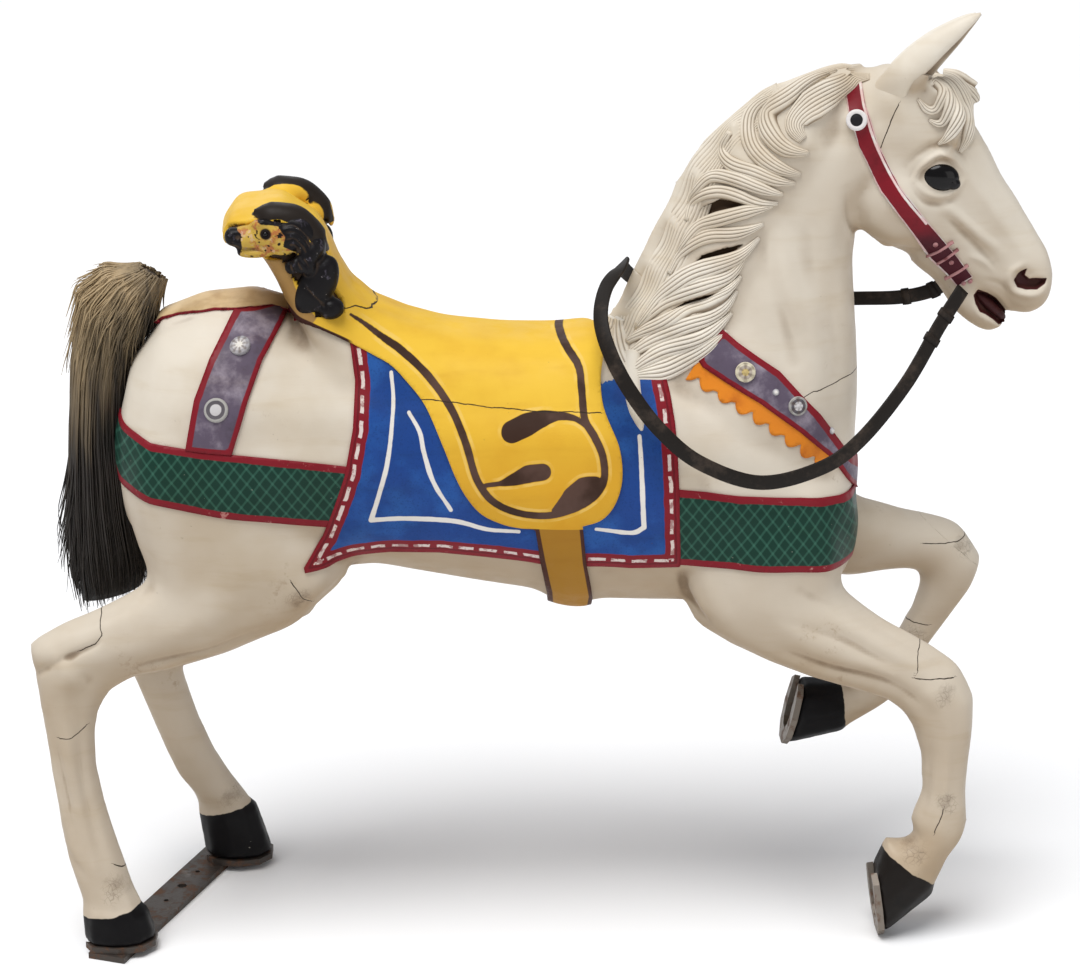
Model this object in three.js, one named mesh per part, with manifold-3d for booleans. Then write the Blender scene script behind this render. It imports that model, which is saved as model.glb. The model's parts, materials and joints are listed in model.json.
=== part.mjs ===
// A carved and painted carousel horse: one wooden figure in a canter, a real hair tail, leather reins,
// iron shoes and the flat iron bar that joins its hind feet and holds it up.
// Millimetres, +Z up, the nose towards +X, the horse's right side towards -Y.

import * as THREE from "three";
import { mergeVertices } from "three/addons/utils/BufferGeometryUtils.js";
import Module from "manifold-3d";

const wasm = await Module();
wasm.setup();

// Driving sizes
const HEIGHT = 1181; // floor to the tips of the ears
const DRAWN_HEIGHT = 1181; // the height for which the figure's stations below are written
const SEAM = 0.3; // gap between pieces that touch

const BAND_RISE = 3; // how far the carved straps stand off the body
const BLANKET_RISE = 4;
const SKIRT_RISE = 9;
const COLLAR_RISE = 5;
const FRINGE_RISE = 3;
const CRUPPER_RISE = 6;
const CHEEK_STRAP_RISE = 3;
const CHEEK_STRAP_WIDTH = 21;
const BOSS_RADIUS = 12;
const BOSS_RISE = 5;

const BAR_WIDTH = 50;
const BAR_THICKNESS = 8;
const BAR_OVERHANG = 44; // past the middle of each hind hoof
const BAR_BOLT_HOLE = 13;
const BAR_SCREW_HOLE = 7;
const BAR_HOLE_SPACING = 48;
const BAR_HOLES_SHIFT = 36; // from the bar's middle towards the left foot

const SHOE_THICKNESS = 8;
const SHOE_WEB = 21;
const HOOF_LENGTH = 94;
const HOOF_WIDTH = 82;

const REIN_WIDTH = 19;
const REIN_THICKNESS = 4;
const REIN_STEPS = 32;

const MANE_RISE = 9;
const MANE_LOCKS = 8; // on the right side, half as many on the left
const LOCK_WIDTH = 23;
const FORELOCKS = 4;
const TAIL_LOCKS = 3;
const FRINGE_SCALLOPS = 8;

const F = HEIGHT / DRAWN_HEIGHT;
const BIG = 320; // half length of a cutter that passes through the whole figure

// Stations of the figure: [top x, top z, bottom x, bottom z, half width, side y]
const TRUNK = [
  [-524, 692, -530, 606, 52, 0],
  [-509, 755, -523, 541, 92, 0],
  [-470, 803, -484, 485, 127, 0],
  [-418, 823, -430, 447, 145, 0],
  [-360, 828, -360, 447, 150, 0],
  [-298, 814, -290, 468, 147, 0],
  [-225, 796, -212, 484, 142, 0],
  [-94, 769, -86, 460, 140, 0],
  [60, 764, 66, 433, 143, 0],
  [151, 758, 162, 430, 143, 0],
  [214, 740, 226, 426, 140, 0],
  [292, 703, 306, 426, 131, 0],
  [369, 638, 378, 446, 98, 0],
  [391, 592, 395, 480, 66, 0],
];
const NECK = [
  [120, 640, 385, 500, 108, 0],
  [70, 738, 400, 553, 116, 0],
  [118, 806, 404, 697, 95, 0],
  [143, 855, 402, 749, 84, 0],
  [189, 946, 394, 840, 66, 0],
  [215, 992, 391, 872, 60, 0],
  [296, 1066, 397, 924, 53, 0],
  [347, 1093, 405, 943, 50, 0],
  [404, 1112, 424, 958, 47, 0],
];
const HEAD = [
  [430, 1114, 398, 1078, 36, 0],
  [475, 1101, 384, 1055, 45, 0],
  [512, 1079, 380, 996, 49, 0],
  [558, 1006, 402, 908, 49, 0],
  [574, 975, 432, 886, 46, 0],
  [592, 949, 468, 872, 41, 0],
  [609, 922, 500, 846, 36, 0],
  [635, 880, 574, 815, 34, 0],
  [643, 853, 596, 798, 34, 0],
  [641, 828, 616, 800, 25, 0],
];
const JAW = [
  [486, 892, 462, 866, 27, 0],
  [518, 868, 494, 840, 25, 0],
  [546, 844, 521, 799, 25, 0],
  [567, 822, 541, 783, 24, 0],
  [582, 804, 560, 772, 20, 0],
  [589, 792, 578, 776, 13, 0],
];
const RIGHT_HIND = [
  [-500, 700, -300, 650, 58, -80],
  [-514, 660, -280, 605, 64, -84],
  [-522, 591, -250, 540, 66, -87],
  [-509, 534, -238, 487, 62, -89],
  [-494, 489, -308, 426, 54, -92],
  [-527, 467, -395, 390, 47, -95],
  [-565, 449, -464, 370, 41, -98],
  [-603, 434, -514, 361, 37, -100],
  [-645, 410, -544, 343, 33, -102],
  [-638, 370, -560, 317, 31, -104],
  [-633, 326, -565, 286, 28, -106],
  [-626, 279, -565, 246, 26, -109],
  [-618, 211, -557, 201, 25, -112],
  [-613, 162, -547, 162, 28, -115],
  [-607, 127, -534, 119, 31, -119],
  [-597, 92, -523, 83, 31, -122],
  [-588, 62, -510, 53, 32, -125],
];
const LEFT_HIND = [
  [-500, 700, -300, 650, 58, 80],
  [-505, 640, -270, 585, 64, 84],
  [-492, 560, -252, 510, 66, 88],
  [-470, 480, -262, 430, 60, 93],
  [-458, 450, -300, 372, 52, 97],
  [-498, 415, -383, 337, 45, 102],
  [-532, 389, -443, 316, 39, 106],
  [-566, 362, -468, 305, 34, 109],
  [-556, 321, -473, 290, 31, 112],
  [-538, 276, -466, 262, 28, 114],
  [-520, 225, -454, 221, 26, 116],
  [-503, 177, -435, 173, 26, 118],
  [-488, 136, -415, 133, 29, 127],
  [-470, 110, -397, 104, 31, 132],
  [-461, 84, -386, 84, 32, 138],
];
const RIGHT_FORE = [
  [360, 610, 170, 560, 50, -80],
  [378, 554, 156, 505, 58, -84],
  [379, 502, 170, 462, 57, -87],
  [378, 473, 190, 422, 54, -89],
  [406, 446, 234, 395, 50, -92],
  [438, 423, 284, 371, 46, -95],
  [470, 406, 335, 351, 42, -98],
  [498, 389, 392, 334, 38, -100],
  [525, 368, 435, 321, 36, -102],
  [549, 324, 457, 305, 35, -104],
  [550, 290, 471, 283, 32, -106],
  [546, 245, 483, 246, 27, -108],
  [543, 198, 486, 195, 26, -109],
  [547, 154, 472, 158, 29, -110],
  [541, 133, 478, 139, 30, -111],
  [524, 107, 464, 126, 29, -111],
  [505, 60, 444, 130, 32, -112],
];
const LEFT_FORE = [
  [360, 600, 330, 440, 48, 76],
  [421, 530, 406, 424, 50, 80],
  [463, 518, 453, 430, 43, 84],
  [510, 509, 487, 431, 38, 88],
  [557, 494, 506, 425, 36, 91],
  [590, 446, 507, 405, 35, 94],
  [579, 407, 500, 381, 32, 96],
  [553, 366, 489, 352, 27, 98],
  [526, 325, 466, 312, 26, 99],
  [506, 289, 445, 298, 28, 100],
  [492, 254, 424, 284, 30, 101],
  [461, 231, 419, 268, 29, 102],
  [412, 200, 410, 264, 32, 104],
];
const SEAT = [
  [72, 786, 70, 690, 104, 0],
  [25, 780, 25, 680, 112, 0],
  [-45, 781, -45, 678, 114, 0],
  [-120, 789, -136, 686, 114, 0],
  [-168, 802, -216, 715, 112, 0],
  [-207, 818, -290, 772, 104, 0],
  [-237, 843, -308, 830, 97, 0],
  [-253, 870, -322, 864, 94, 0],
  [-263, 896, -336, 889, 93, 0],
  [-277, 923, -350, 905, 92, 0],
  [-320, 950, -368, 918, 92, 0],
  [-370, 946, -384, 908, 89, 0],
];
const TAIL = [
  [-505, 872, -472, 850, 16, 0],
  [-540, 862, -482, 815, 32, 0],
  [-566, 830, -510, 775, 40, 0],
  [-584, 745, -520, 725, 44, 0],
  [-592, 660, -528, 650, 46, 0],
  [-598, 570, -530, 560, 44, 0],
  [-598, 490, -520, 480, 38, 0],
  [-590, 435, -545, 430, 24, 0],
];

// Where each hoof meets its shoe: the toe and the heel of the shoe's outer face, and the side y
const BAR_TOP = BAR_THICKNESS + SEAM;
const HIND_TOE_RIGHT = -495;
const HIND_TOE_LEFT = -361;
const HOOVES = {
  right_hind: { toe: [HIND_TOE_RIGHT * F, BAR_TOP], turn: 0, y: -125 * F, leg: RIGHT_HIND },
  left_hind: { toe: [HIND_TOE_LEFT * F, BAR_TOP], turn: 0, y: 138 * F, leg: LEFT_HIND },
  right_fore: { toe: [434 * F, 0], turn: 82, y: -112 * F, leg: RIGHT_FORE },
  left_fore: { toe: [328 * F, 181 * F], turn: 103, y: 104 * F, leg: LEFT_FORE },
};

// Outlines of the carved harness, seen from the side
const BLANKET = [
  [-250, 900], [-227, 801], [-222, 732], [-230, 644], [-256, 567], [-298, 512], [-226, 538],
  [-116, 540], [-5, 532], [94, 515], [165, 515], [164, 640], [150, 735], [120, 900],
];
const SKIRT = [
  [-250, 900], [-256, 834], [-197, 795], [-150, 745], [-120, 682], [-97, 622], [-54, 588],
  [-3, 575], [9, 380], [60, 380], [58, 582], [84, 604], [94, 640], [88, 680], [74, 731], [68, 760], [78, 900],
];
const REAR_BAND = [
  [-600, 715], [-520, 695], [-436, 671], [-243, 645], [-262, 574], [-439, 590], [-523, 613], [-600, 632],
];
const FRONT_BAND = [[168, 609], [379, 594], [470, 588], [470, 496], [375, 503], [169, 518]];
const RUMP_STRAP = [[-282, 900], [-305, 838], [-374, 663], [-434, 672], [-359, 838], [-336, 900]];
const CRUPPER = [[-540, 900], [-540, 775], [-483, 799], [-421, 819], [-250, 822], [-250, 900]];
const COLLAR = [
  [222, 797], [291, 748], [342, 691], [381, 638], [450, 560],
  [450, 505], [355, 652], [317, 681], [266, 717], [192, 762],
];
const CHEEK_STRAP = [[371, 1099], [380, 1062], [392, 1030], [430, 972], [478, 909], [512, 852]];

// Mane: the line of the crest, and the line on the neck where the locks end
const CREST = [
  [396, 1124], [345, 1110], [290, 1084], [241, 1050], [203, 1006], [176, 958], [153, 910], [131, 864],
  [106, 815], [84, 776], [74, 745],
];
const CREST_RIDGE = [[388, 1118], [290, 1080], [203, 1000], [152, 902], [104, 805], [80, 752]];
const MANE_FRONT = [
  [352, 1093], [326, 1057], [327, 1014], [313, 990], [277, 941], [248, 885],
  [225, 829], [184, 774], [134, 715],
];
const MANE_GAPS = [[222, 972, 26], [208, 890, 34]]; // dark hollows between the locks: x, z and half length
const MANE_END = [[102, 778], [108, 735], [108, 698]]; // the last lock lies on the blanket
const FRINGE_LINE = [[186, 752], [262, 707], [313, 671], [352, 640]];

function toSolid(geometry) {
  geometry.deleteAttribute("normal");
  geometry.deleteAttribute("uv");
  const merged = mergeVertices(geometry, 1e-4);
  return new wasm.Manifold(new wasm.Mesh({
    numProp: 3,
    vertProperties: new Float32Array(merged.attributes.position.array),
    triVerts: new Uint32Array(merged.index.array),
  }));
}

function toMesh(solid, name, material) {
  const { vertProperties, triVerts } = solid.getMesh();
  const geometry = new THREE.BufferGeometry();
  geometry.setAttribute("position", new THREE.BufferAttribute(vertProperties, 3));
  geometry.setIndex(new THREE.BufferAttribute(triVerts, 1));
  geometry.computeVertexNormals();
  const mesh = new THREE.Mesh(geometry, material);
  mesh.name = name;
  return mesh;
}

const join = (solids) => solids.reduce((whole, solid) => whole.add(solid));

// A closed body through rings of points, each ring as long as the others, with a pole at either end
function skinRings(rings, poleA, poleB) {
  const sides = rings[0].length;
  const points = [...rings.flat(), poleA, poleB];
  const last = rings.length - 1;
  const faces = [];
  for (let k = 0; k < sides; k++) {
    const n = (k + 1) % sides;
    for (let i = 0; i < last; i++) {
      const a = i * sides;
      const b = a + sides;
      faces.push(a + k, b + k, b + n, a + k, b + n, a + n);
    }
    faces.push(points.length - 2, k, n, points.length - 1, last * sides + n, last * sides + k);
  }
  let volume = 0;
  for (let i = 0; i < faces.length; i += 3) {
    const [p, q, r] = [points[faces[i]], points[faces[i + 1]], points[faces[i + 2]]];
    volume += p.dot(q.clone().cross(r));
  }
  if (volume < 0) faces.reverse();
  const geometry = new THREE.BufferGeometry();
  geometry.setAttribute("position", new THREE.Float32BufferAttribute(points.flatMap((p) => p.toArray()), 3));
  geometry.setIndex(faces);
  return toSolid(geometry);
}

const power = (value, exponent) => Math.sign(value) * Math.abs(value) ** exponent;

// A body lofted through stations. grow makes every section that much larger all round, egg narrows the
// top of each section, square above 1 fills out its corners.
function loft(stations, sides, { grow = 0, egg = 0, square = 1, caps = [0.35, 0.35] } = {}) {
  const centres = [];
  const rings = stations.map(([tx, tz, bx, bz, half, y]) => {
    const top = new THREE.Vector3(tx, y, tz).multiplyScalar(F);
    const bottom = new THREE.Vector3(bx, y, bz).multiplyScalar(F);
    const centre = top.clone().add(bottom).multiplyScalar(0.5);
    const depth = top.distanceTo(bottom) / 2 + grow;
    const up = top.clone().sub(bottom).normalize();
    centres.push(centre);
    return Array.from({ length: sides }, (_, k) => {
      const angle = (2 * Math.PI * k) / sides;
      const u = power(Math.cos(angle), 1 / square);
      const v = power(Math.sin(angle), 1 / square);
      const across = v * (half * F + grow) * (1 - egg * u);
      return centre.clone().addScaledVector(up, u * depth).add(new THREE.Vector3(0, across, 0));
    });
  });
  const pole = (end, inner, share) => {
    const out = centres[end].clone().sub(centres[inner]).normalize();
    const half = stations[end][4] * F;
    return centres[end].clone().addScaledVector(out, half * share + grow);
  };
  const last = stations.length - 1;
  return skinRings(rings, pole(0, 1, caps[0]), pole(last, last - 1, caps[1]));
}

function ellipsoid([x, y, z], [rx, ry, rz], turn = 0, segments = [14, 8]) {
  const geometry = new THREE.SphereGeometry(1, segments[0], segments[1]);
  geometry.scale(rx * F, ry * F, rz * F).rotateY(THREE.MathUtils.degToRad(turn));
  geometry.translate(x * F, y * F, z * F);
  return toSolid(geometry);
}

// A cutter with the given side outline, right through the figure
function through(outline, from = -BIG, to = BIG) {
  const shape = new THREE.Shape(outline.map(([x, z]) => new THREE.Vector2(x * F, z * F)));
  const geometry = new THREE.ExtrudeGeometry(shape, { depth: to - from, bevelEnabled: false });
  geometry.rotateX(Math.PI / 2).translate(0, to, 0);
  return toSolid(geometry);
}

// The outline of a strip of one width along a line of points
function strip(line, width, count = 4) {
  const curve = new THREE.SplineCurve(line.map(([x, z]) => new THREE.Vector2(x, z)));
  const sideOf = (sign) => Array.from({ length: count + 1 }, (_, i) => {
    const point = curve.getPoint(i / count);
    const along = curve.getTangent(i / count);
    return [point.x - (sign * along.y * width) / 2, point.y + (sign * along.x * width) / 2];
  });
  return [...sideOf(1), ...sideOf(-1).reverse()];
}

// The wooden body without its harness
const neck = (grow) => loft(NECK, 12, { grow, egg: 0.22 });
const cheek = (grow, side) => ellipsoid([446, side * 22, 949], [66 + grow, 31 + grow, 66 + grow], 0, [10, 4]);
const head = (grow) => join([
  loft(HEAD, 12, { grow, square: 1.12, caps: [0.4, 0.25] }),
  loft(JAW, 6, { grow, caps: [0.3, 0.3] }),
  cheek(grow, -1),
  cheek(grow, 1),
]);
const limbs = (grow) => join([
  loft(RIGHT_HIND, 8, { grow, square: 1.1 }),
  loft(LEFT_HIND, 8, { grow, square: 1.1 }),
  loft(RIGHT_FORE, 8, { grow, square: 1.1 }),
  loft(LEFT_FORE, 8, { grow, square: 1.1 }),
]);
const trunk = (grow) => loft(TRUNK, 16, { grow, square: 1.12, caps: [0.16, 0.2] });
const body = (grow) => join([trunk(grow), limbs(grow), neck(grow)]);

// A layer of the carved harness: the body grown by its rise, inside a side outline
const grown = new Map();
function layer(rise, outline, form = body) {
  const key = `${form === body ? "body" : "head"} ${rise}`;
  if (!grown.has(key)) grown.set(key, form(rise));
  return grown.get(key).intersect(through(outline));
}

const lineOf = (points) => new THREE.SplineCurve(points.map(([x, z]) => new THREE.Vector2(x, z)));

function scallops() {
  const line = lineOf(FRINGE_LINE);
  const lower = [];
  for (let i = 0; i < FRINGE_SCALLOPS; i++) {
    for (const [share, drop] of [[0, 0], [0.5, 11]]) {
      const t = (i + share) / FRINGE_SCALLOPS;
      const point = line.getPoint(t);
      const along = line.getTangent(t);
      lower.push([point.x + along.y * (drop + 6), point.y - along.x * (drop + 6)]);
    }
  }
  return [[196, 768], ...lower, [352, 628], [362, 652], [300, 716]];
}

const harness = (extra) => join([
  layer(BAND_RISE + extra, REAR_BAND),
  layer(BAND_RISE + extra, FRONT_BAND),
  layer(BAND_RISE + extra, RUMP_STRAP),
  layer(CRUPPER_RISE + extra, CRUPPER),
  layer(BLANKET_RISE + extra, BLANKET),
  layer(SKIRT_RISE + extra, SKIRT),
]);

// The y of a surface straight out from a point of the side view
function surfaceFinder(solid) {
  const mesh = toMesh(solid, "probe", new THREE.MeshBasicMaterial({ side: THREE.DoubleSide }));
  const ray = new THREE.Raycaster();
  return (x, z, side) => {
    ray.set(new THREE.Vector3(x * F, side * BIG * 2, z * F), new THREE.Vector3(0, -side, 0));
    const [hit] = ray.intersectObject(mesh);
    return hit ? hit.point.y / F : 0;
  };
}

// A lock of hair: a tapering rounded ridge that follows a line lying on a surface
function lock(points, wide, high, steps = 4, sides = 4) {
  const curve = new THREE.CatmullRomCurve3(points.map((p) => new THREE.Vector3(...p).multiplyScalar(F)));
  const outward = new THREE.Vector3(0, Math.sign(points[1][1]) || -1, 0);
  const rings = Array.from({ length: steps }, (_, i) => {
    const t = i / (steps - 1);
    const along = curve.getTangent(t);
    const sideways = along.clone().cross(outward).normalize();
    const lift = sideways.clone().cross(along).normalize();
    const swell = 0.35 + 0.65 * Math.sin(Math.PI * (0.12 + 0.76 * t)) ** 0.8;
    return Array.from({ length: sides }, (_, k) => {
      const angle = (2 * Math.PI * k) / sides;
      return curve.getPoint(t)
        .addScaledVector(sideways, Math.cos(angle) * wide * swell * F)
        .addScaledVector(lift, Math.sin(angle) * high * swell * F);
    });
  });
  const beyond = (t, sign) => curve.getPoint(t).addScaledVector(curve.getTangent(t), sign * wide * 0.5 * F);
  return skinRings(rings, beyond(0, -1), beyond(1, 1));
}

// The mane falls from the crest in locks that swing back and then forward to their ends
function mane() {
  const crest = lineOf(CREST);
  const front = lineOf(MANE_FRONT);
  const inside = CREST.map(([x, z]) => [x - 60, z + 40]);
  const outline = [...inside, ...MANE_FRONT.slice().reverse()];
  const fall = neck(MANE_RISE).intersect(through(outline));
  const surface = surfaceFinder(neck(MANE_RISE));
  const locks = [];
  for (const side of [-1, 1]) {
    const count = side < 0 ? MANE_LOCKS : Math.round(MANE_LOCKS / 3);
    for (let i = 0; i < count; i++) {
      const t = i / (count - 1);
      const root = crest.getPoint(0.05 + 0.9 * t);
      const tip = front.getPoint(0.24 + 0.7 * t);
      const bend = 46 - 66 * t;
      const points = [0, 0.3, 0.62, 1].map((s) => {
        const p = root.clone().lerp(tip, s * 0.94 + 0.02);
        const bow = bend * Math.sin(Math.PI * s) * 0.75;
        const [x, z] = [p.x - bow, p.y - bow];
        return [x, surface(x, z, side) || side * 20, z];
      });
      locks.push(lock(points, side < 0 ? LOCK_WIDTH : LOCK_WIDTH * 2.2, side < 0 ? 12 : 7));
    }
  }
  const ridge = lock(CREST_RIDGE.map(([x, z]) => [x, -1, z]), 18, 14, 6, 5);
  const gaps = MANE_GAPS.map(([x, z, long]) =>
    ellipsoid([x, surface(x, z, -1) - 7, z], [long, 12, 7], -18, [6, 3]));
  return gaps.reduce((hair, gap) => hair.subtract(gap), join([fall, ridge, ...locks]));
}

// A tuft between the ears: most of it curls down beside the right eye, the rest juts over the brow
function forelock() {
  const locks = [];
  for (let i = 0; i < FORELOCKS; i++) {
    const t = i / (FORELOCKS - 1);
    const y = -44 + 58 * t;
    const jut = t * t;
    locks.push(lock([
      [458 + 6 * t, y * 0.6, 1096],
      [484 + 26 * t, y * 0.95, 1084 + 6 * jut],
      [506 + 26 * t, y * 1.05, 1050 + 24 * jut],
      [500 + 34 * t, y * 1.1, 1014 + 44 * jut],
    ], 14, 11, 4));
  }
  return join(locks);
}

function ear(side) {
  const y = side * 35;
  const lean = side > 0 ? [9, -11] : [0, 0];
  const leaf = [
    [424, 1116, 456, 1078, 17, y],
    [446, 1142, 476, 1094, 19, y * 1.06],
    [473, 1159, 496, 1119, 17, y * 1.12],
    [498, 1171, 510, 1141, 12, y * 1.16],
    [517, 1179, 522, 1161, 7, y * 1.18],
    [529, 1181, 531, 1175, 3, y * 1.18],
  ].map(([tx, tz, bx, bz, half, sy]) => [tx + lean[0], tz + lean[1], bx + lean[0], bz + lean[1], half, sy]);
  const hollow = leaf.slice(1, 5).map(([tx, tz, bx, bz, half, sy]) => {
    const [dx, dz] = [bx - tx, bz - tz];
    const [high, low] = [0.62, 0.35];
    return [tx + high * dx, tz + high * dz, bx + low * dx, bz + low * dz, half * 0.55, sy + side * half * 0.25];
  });
  return loft(leaf, 6, { caps: [0.3, 0.1] }).subtract(loft(hollow, 5));
}

const eye = (side) => ellipsoid([491, side * 41, 983], [17, 11, 12], 28, [8, 4]);
const nostril = (side) => ellipsoid([608, side * 33, 851], [11, 8, 8], 30, [8, 4]);
const mouth = () => ellipsoid([560, 0, 819], [30, 60, 4], 42, [8, 4]);

// Round bosses on the straps: [x, z]
function bosses(surface) {
  const places = [[-354, 786], [-388, 706], [242, 757], [293, 716], [384, 1050]];
  const list = [];
  for (const [x, z] of places) {
    for (const side of [-1, 1]) {
      const geometry = new THREE.LatheGeometry([
        new THREE.Vector2(0, 0),
        new THREE.Vector2(BOSS_RADIUS, 0),
        new THREE.Vector2(BOSS_RADIUS * 0.8, 7 + BOSS_RISE),
        new THREE.Vector2(0, 7 + BOSS_RISE),
      ], 7);
      if (side < 0) geometry.rotateX(Math.PI);
      geometry.translate(x * F, surface(x, z, side) * F - side * 7, z * F);
      list.push(toSolid(geometry));
    }
  }
  return join(list);
}

// The cantle is carved on each side with a maned beast's head above its folded paw
function cantleBeast(side) {
  const y = (depth) => side * depth;
  return join([
    ellipsoid([-332, y(90), 923], [46, 20, 19], -6, [8, 4]),
    ellipsoid([-312, y(84), 945], [36, 20, 13], 8, [6, 4]),
    ellipsoid([-279, y(86), 921], [14, 19, 30], -26, [6, 4]),
    ellipsoid([-274, y(90), 860], [19, 16, 38], -30, [6, 4]),
  ]);
}

// A hoof stands in its own frame: x from heel to toe, z out of the sole, the toe's outer edge at zero
function hoofFrame({ toe, turn, y }) {
  const matrix = new THREE.Matrix4().makeRotationY(THREE.MathUtils.degToRad(turn));
  return matrix.setPosition(toe[0], y, toe[1]);
}

const SOLE_SIDES = 10;

// The sole's outline, round at the toe and squarer at the heel, drawn in by inset
function soleOutline(inset) {
  const long = HOOF_LENGTH / 2 - inset;
  const half = HOOF_WIDTH / 2 - inset;
  return Array.from({ length: SOLE_SIDES }, (_, k) => {
    const angle = (2 * Math.PI * (k + 0.5)) / SOLE_SIDES;
    const heel = Math.cos(angle) < 0 ? 0.6 : 0.9;
    return [power(Math.cos(angle), heel) * long - HOOF_LENGTH / 2, power(Math.sin(angle), 0.9) * half];
  });
}

function shoe(place) {
  const outer = soleOutline(0);
  const inner = soleOutline(SHOE_WEB);
  const open = inner.map(([x, y]) => (x < -HOOF_LENGTH * 0.7 ? [-HOOF_LENGTH - 10, y] : [x, y]));
  const plate = (outline, depth, lift) => {
    const shape = new THREE.Shape(outline.map(([x, y]) => new THREE.Vector2(x, y)));
    return toSolid(new THREE.ExtrudeGeometry(shape, { depth, bevelEnabled: false }).translate(0, 0, lift));
  };
  const cut = plate(open, SHOE_THICKNESS * 3, -SHOE_THICKNESS);
  return plate(outer, SHOE_THICKNESS, 0).subtract(cut).transform(hoofFrame(place).elements);
}

// Horn from the shoe up to the coronet, where the leg's last station is
function hoof(place) {
  const frame = hoofFrame(place);
  const base = SHOE_THICKNESS + SEAM;
  const sole = soleOutline(1).map(([x, y]) => new THREE.Vector3(x, y, base).applyMatrix4(frame));
  const [fx, fz, bx, bz, half, y] = place.leg.at(-1);
  const ends = [[fx, fz], [bx, bz]].map(([ex, ez]) => new THREE.Vector3(ex, y, ez).multiplyScalar(F));
  const toeward = new THREE.Vector3(1, 0, 0).transformDirection(frame);
  if (ends[0].clone().sub(ends[1]).dot(toeward) < 0) ends.reverse();
  const centre = ends[0].clone().add(ends[1]).multiplyScalar(0.5);
  const long = ends[0].clone().sub(centre);
  const coronet = (size) => Array.from({ length: SOLE_SIDES }, (_, k) => {
    const angle = (2 * Math.PI * (k + 0.5)) / SOLE_SIDES;
    const across = Math.sin(angle) * half * size * F;
    return centre.clone().addScaledVector(long, Math.cos(angle) * size).add(new THREE.Vector3(0, across, 0));
  });
  const upper = coronet(1.1);
  const middle = sole.map((p, k) => p.clone().lerp(upper[k], 0.55));
  const total = (ring) => ring.reduce((sum, p) => sum.add(p), new THREE.Vector3());
  const middleOf = (ring) => total(ring).divideScalar(ring.length);
  const top = coronet(0.8).map((p) => p.add(centre.clone().sub(middleOf(sole)).setLength(5)));
  return skinRings([sole, middle, upper, top], middleOf(sole), middleOf(top));
}

// Flat iron bar under both hind hooves
function footBar() {
  const { right_hind: right, left_hind: left } = HOOVES;
  const from = new THREE.Vector2(right.toe[0] - HOOF_LENGTH * 0.5, right.y);
  const to = new THREE.Vector2(left.toe[0] - HOOF_LENGTH * 0.86, left.y);
  const length = from.distanceTo(to) + 2 * BAR_OVERHANG;
  const middle = from.clone().add(to).multiplyScalar(0.5);
  const shape = new THREE.Shape();
  shape.moveTo(-length / 2, -BAR_WIDTH / 2);
  shape.lineTo(length / 2, -BAR_WIDTH / 2);
  shape.lineTo(length / 2, BAR_WIDTH / 2);
  shape.lineTo(-length / 2, BAR_WIDTH / 2);
  for (const [place, size] of [[-1, BAR_SCREW_HOLE], [0, BAR_BOLT_HOLE], [1, BAR_SCREW_HOLE]]) {
    const hole = new THREE.Path();
    hole.absarc(BAR_HOLES_SHIFT + place * BAR_HOLE_SPACING, 0, size / 2, 0, 2 * Math.PI);
    shape.holes.push(hole);
  }
  const geometry = new THREE.ExtrudeGeometry(shape, {
    depth: BAR_THICKNESS, bevelEnabled: false, curveSegments: 5,
  });
  geometry.rotateZ(Math.atan2(to.y - from.y, to.x - from.x)).translate(middle.x, middle.y, 0);
  return toSolid(geometry);
}

// Real hair, fastened at the top of the rump and hanging clear of it
function tail() {
  const locks = [loft(TAIL, 8, { caps: [0.5, 0.6] })];
  for (let i = 0; i < TAIL_LOCKS; i++) {
    const t = i / (TAIL_LOCKS - 1);
    const y = -34 + 68 * t;
    const back = -570 + 20 * Math.abs(2 * t - 1);
    const drop = 436 - 40 * Math.sin(Math.PI * (0.3 + 2.2 * t));
    locks.push(lock([
      [-512, y * 0.4, 858],
      [back + 6, y * 0.9, 800],
      [back - 8, y * 1.1, 650],
      [back - 18 + 10 * Math.sin(7 * t), y * 1.15, 520],
      [back - 2 + 18 * Math.sin(5 * t), y * 0.9, drop],
    ], 17, 17, 5, 5));
  }
  return join(locks);
}

// The reins run from one corner of the mouth, round the neck behind the mane, to the other corner
const REIN_ROUTE = [
  [524, -38, 838], [493, -62, 798], [447, -98, 732], [388, -135, 672], [337, -154, 642], [262, -168, 629],
  [189, -170, 655], [140, -168, 696], [103, -160, 744], [80, -142, 786], [70, -112, 822], [79, -66, 850],
  [103, -14, 867], [104, 36, 853], [134, 84, 822], [212, 112, 800], [320, 110, 792], [409, 82, 799],
  [463, 66, 804], [500, 54, 815], [524, 40, 834],
];

function reins() {
  const curve = new THREE.CatmullRomCurve3(REIN_ROUTE.map((p) => new THREE.Vector3(...p).multiplyScalar(F)));
  const inner = new THREE.Vector3(300, 0, 700).multiplyScalar(F);
  const rings = [];
  for (let i = 0; i <= REIN_STEPS; i++) {
    const t = i / REIN_STEPS;
    const point = curve.getPointAt(t);
    const along = curve.getTangentAt(t);
    const away = point.clone().sub(inner).normalize();
    const sideways = Math.sign(point.y) * Math.min(1, Math.abs(point.y) / 60);
    const flat = new THREE.Vector3(0, sideways, 0).addScaledVector(away, 0.55);
    const across = along.clone().cross(flat).normalize();
    const out = across.clone().cross(along).normalize();
    across.multiplyScalar(REIN_WIDTH / 2);
    out.multiplyScalar(REIN_THICKNESS / 2);
    rings.push([[1, 1], [-1, 1], [-1, -1], [1, -1]].map(([u, v]) =>
      point.clone().addScaledVector(across, u).addScaledVector(out, v)));
  }
  return skinRings(rings, curve.getPointAt(0), curve.getPointAt(1));
}

function colour(hex, roughness, metalness = 0) {
  return new THREE.MeshStandardMaterial({ color: hex, roughness, metalness });
}

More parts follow.
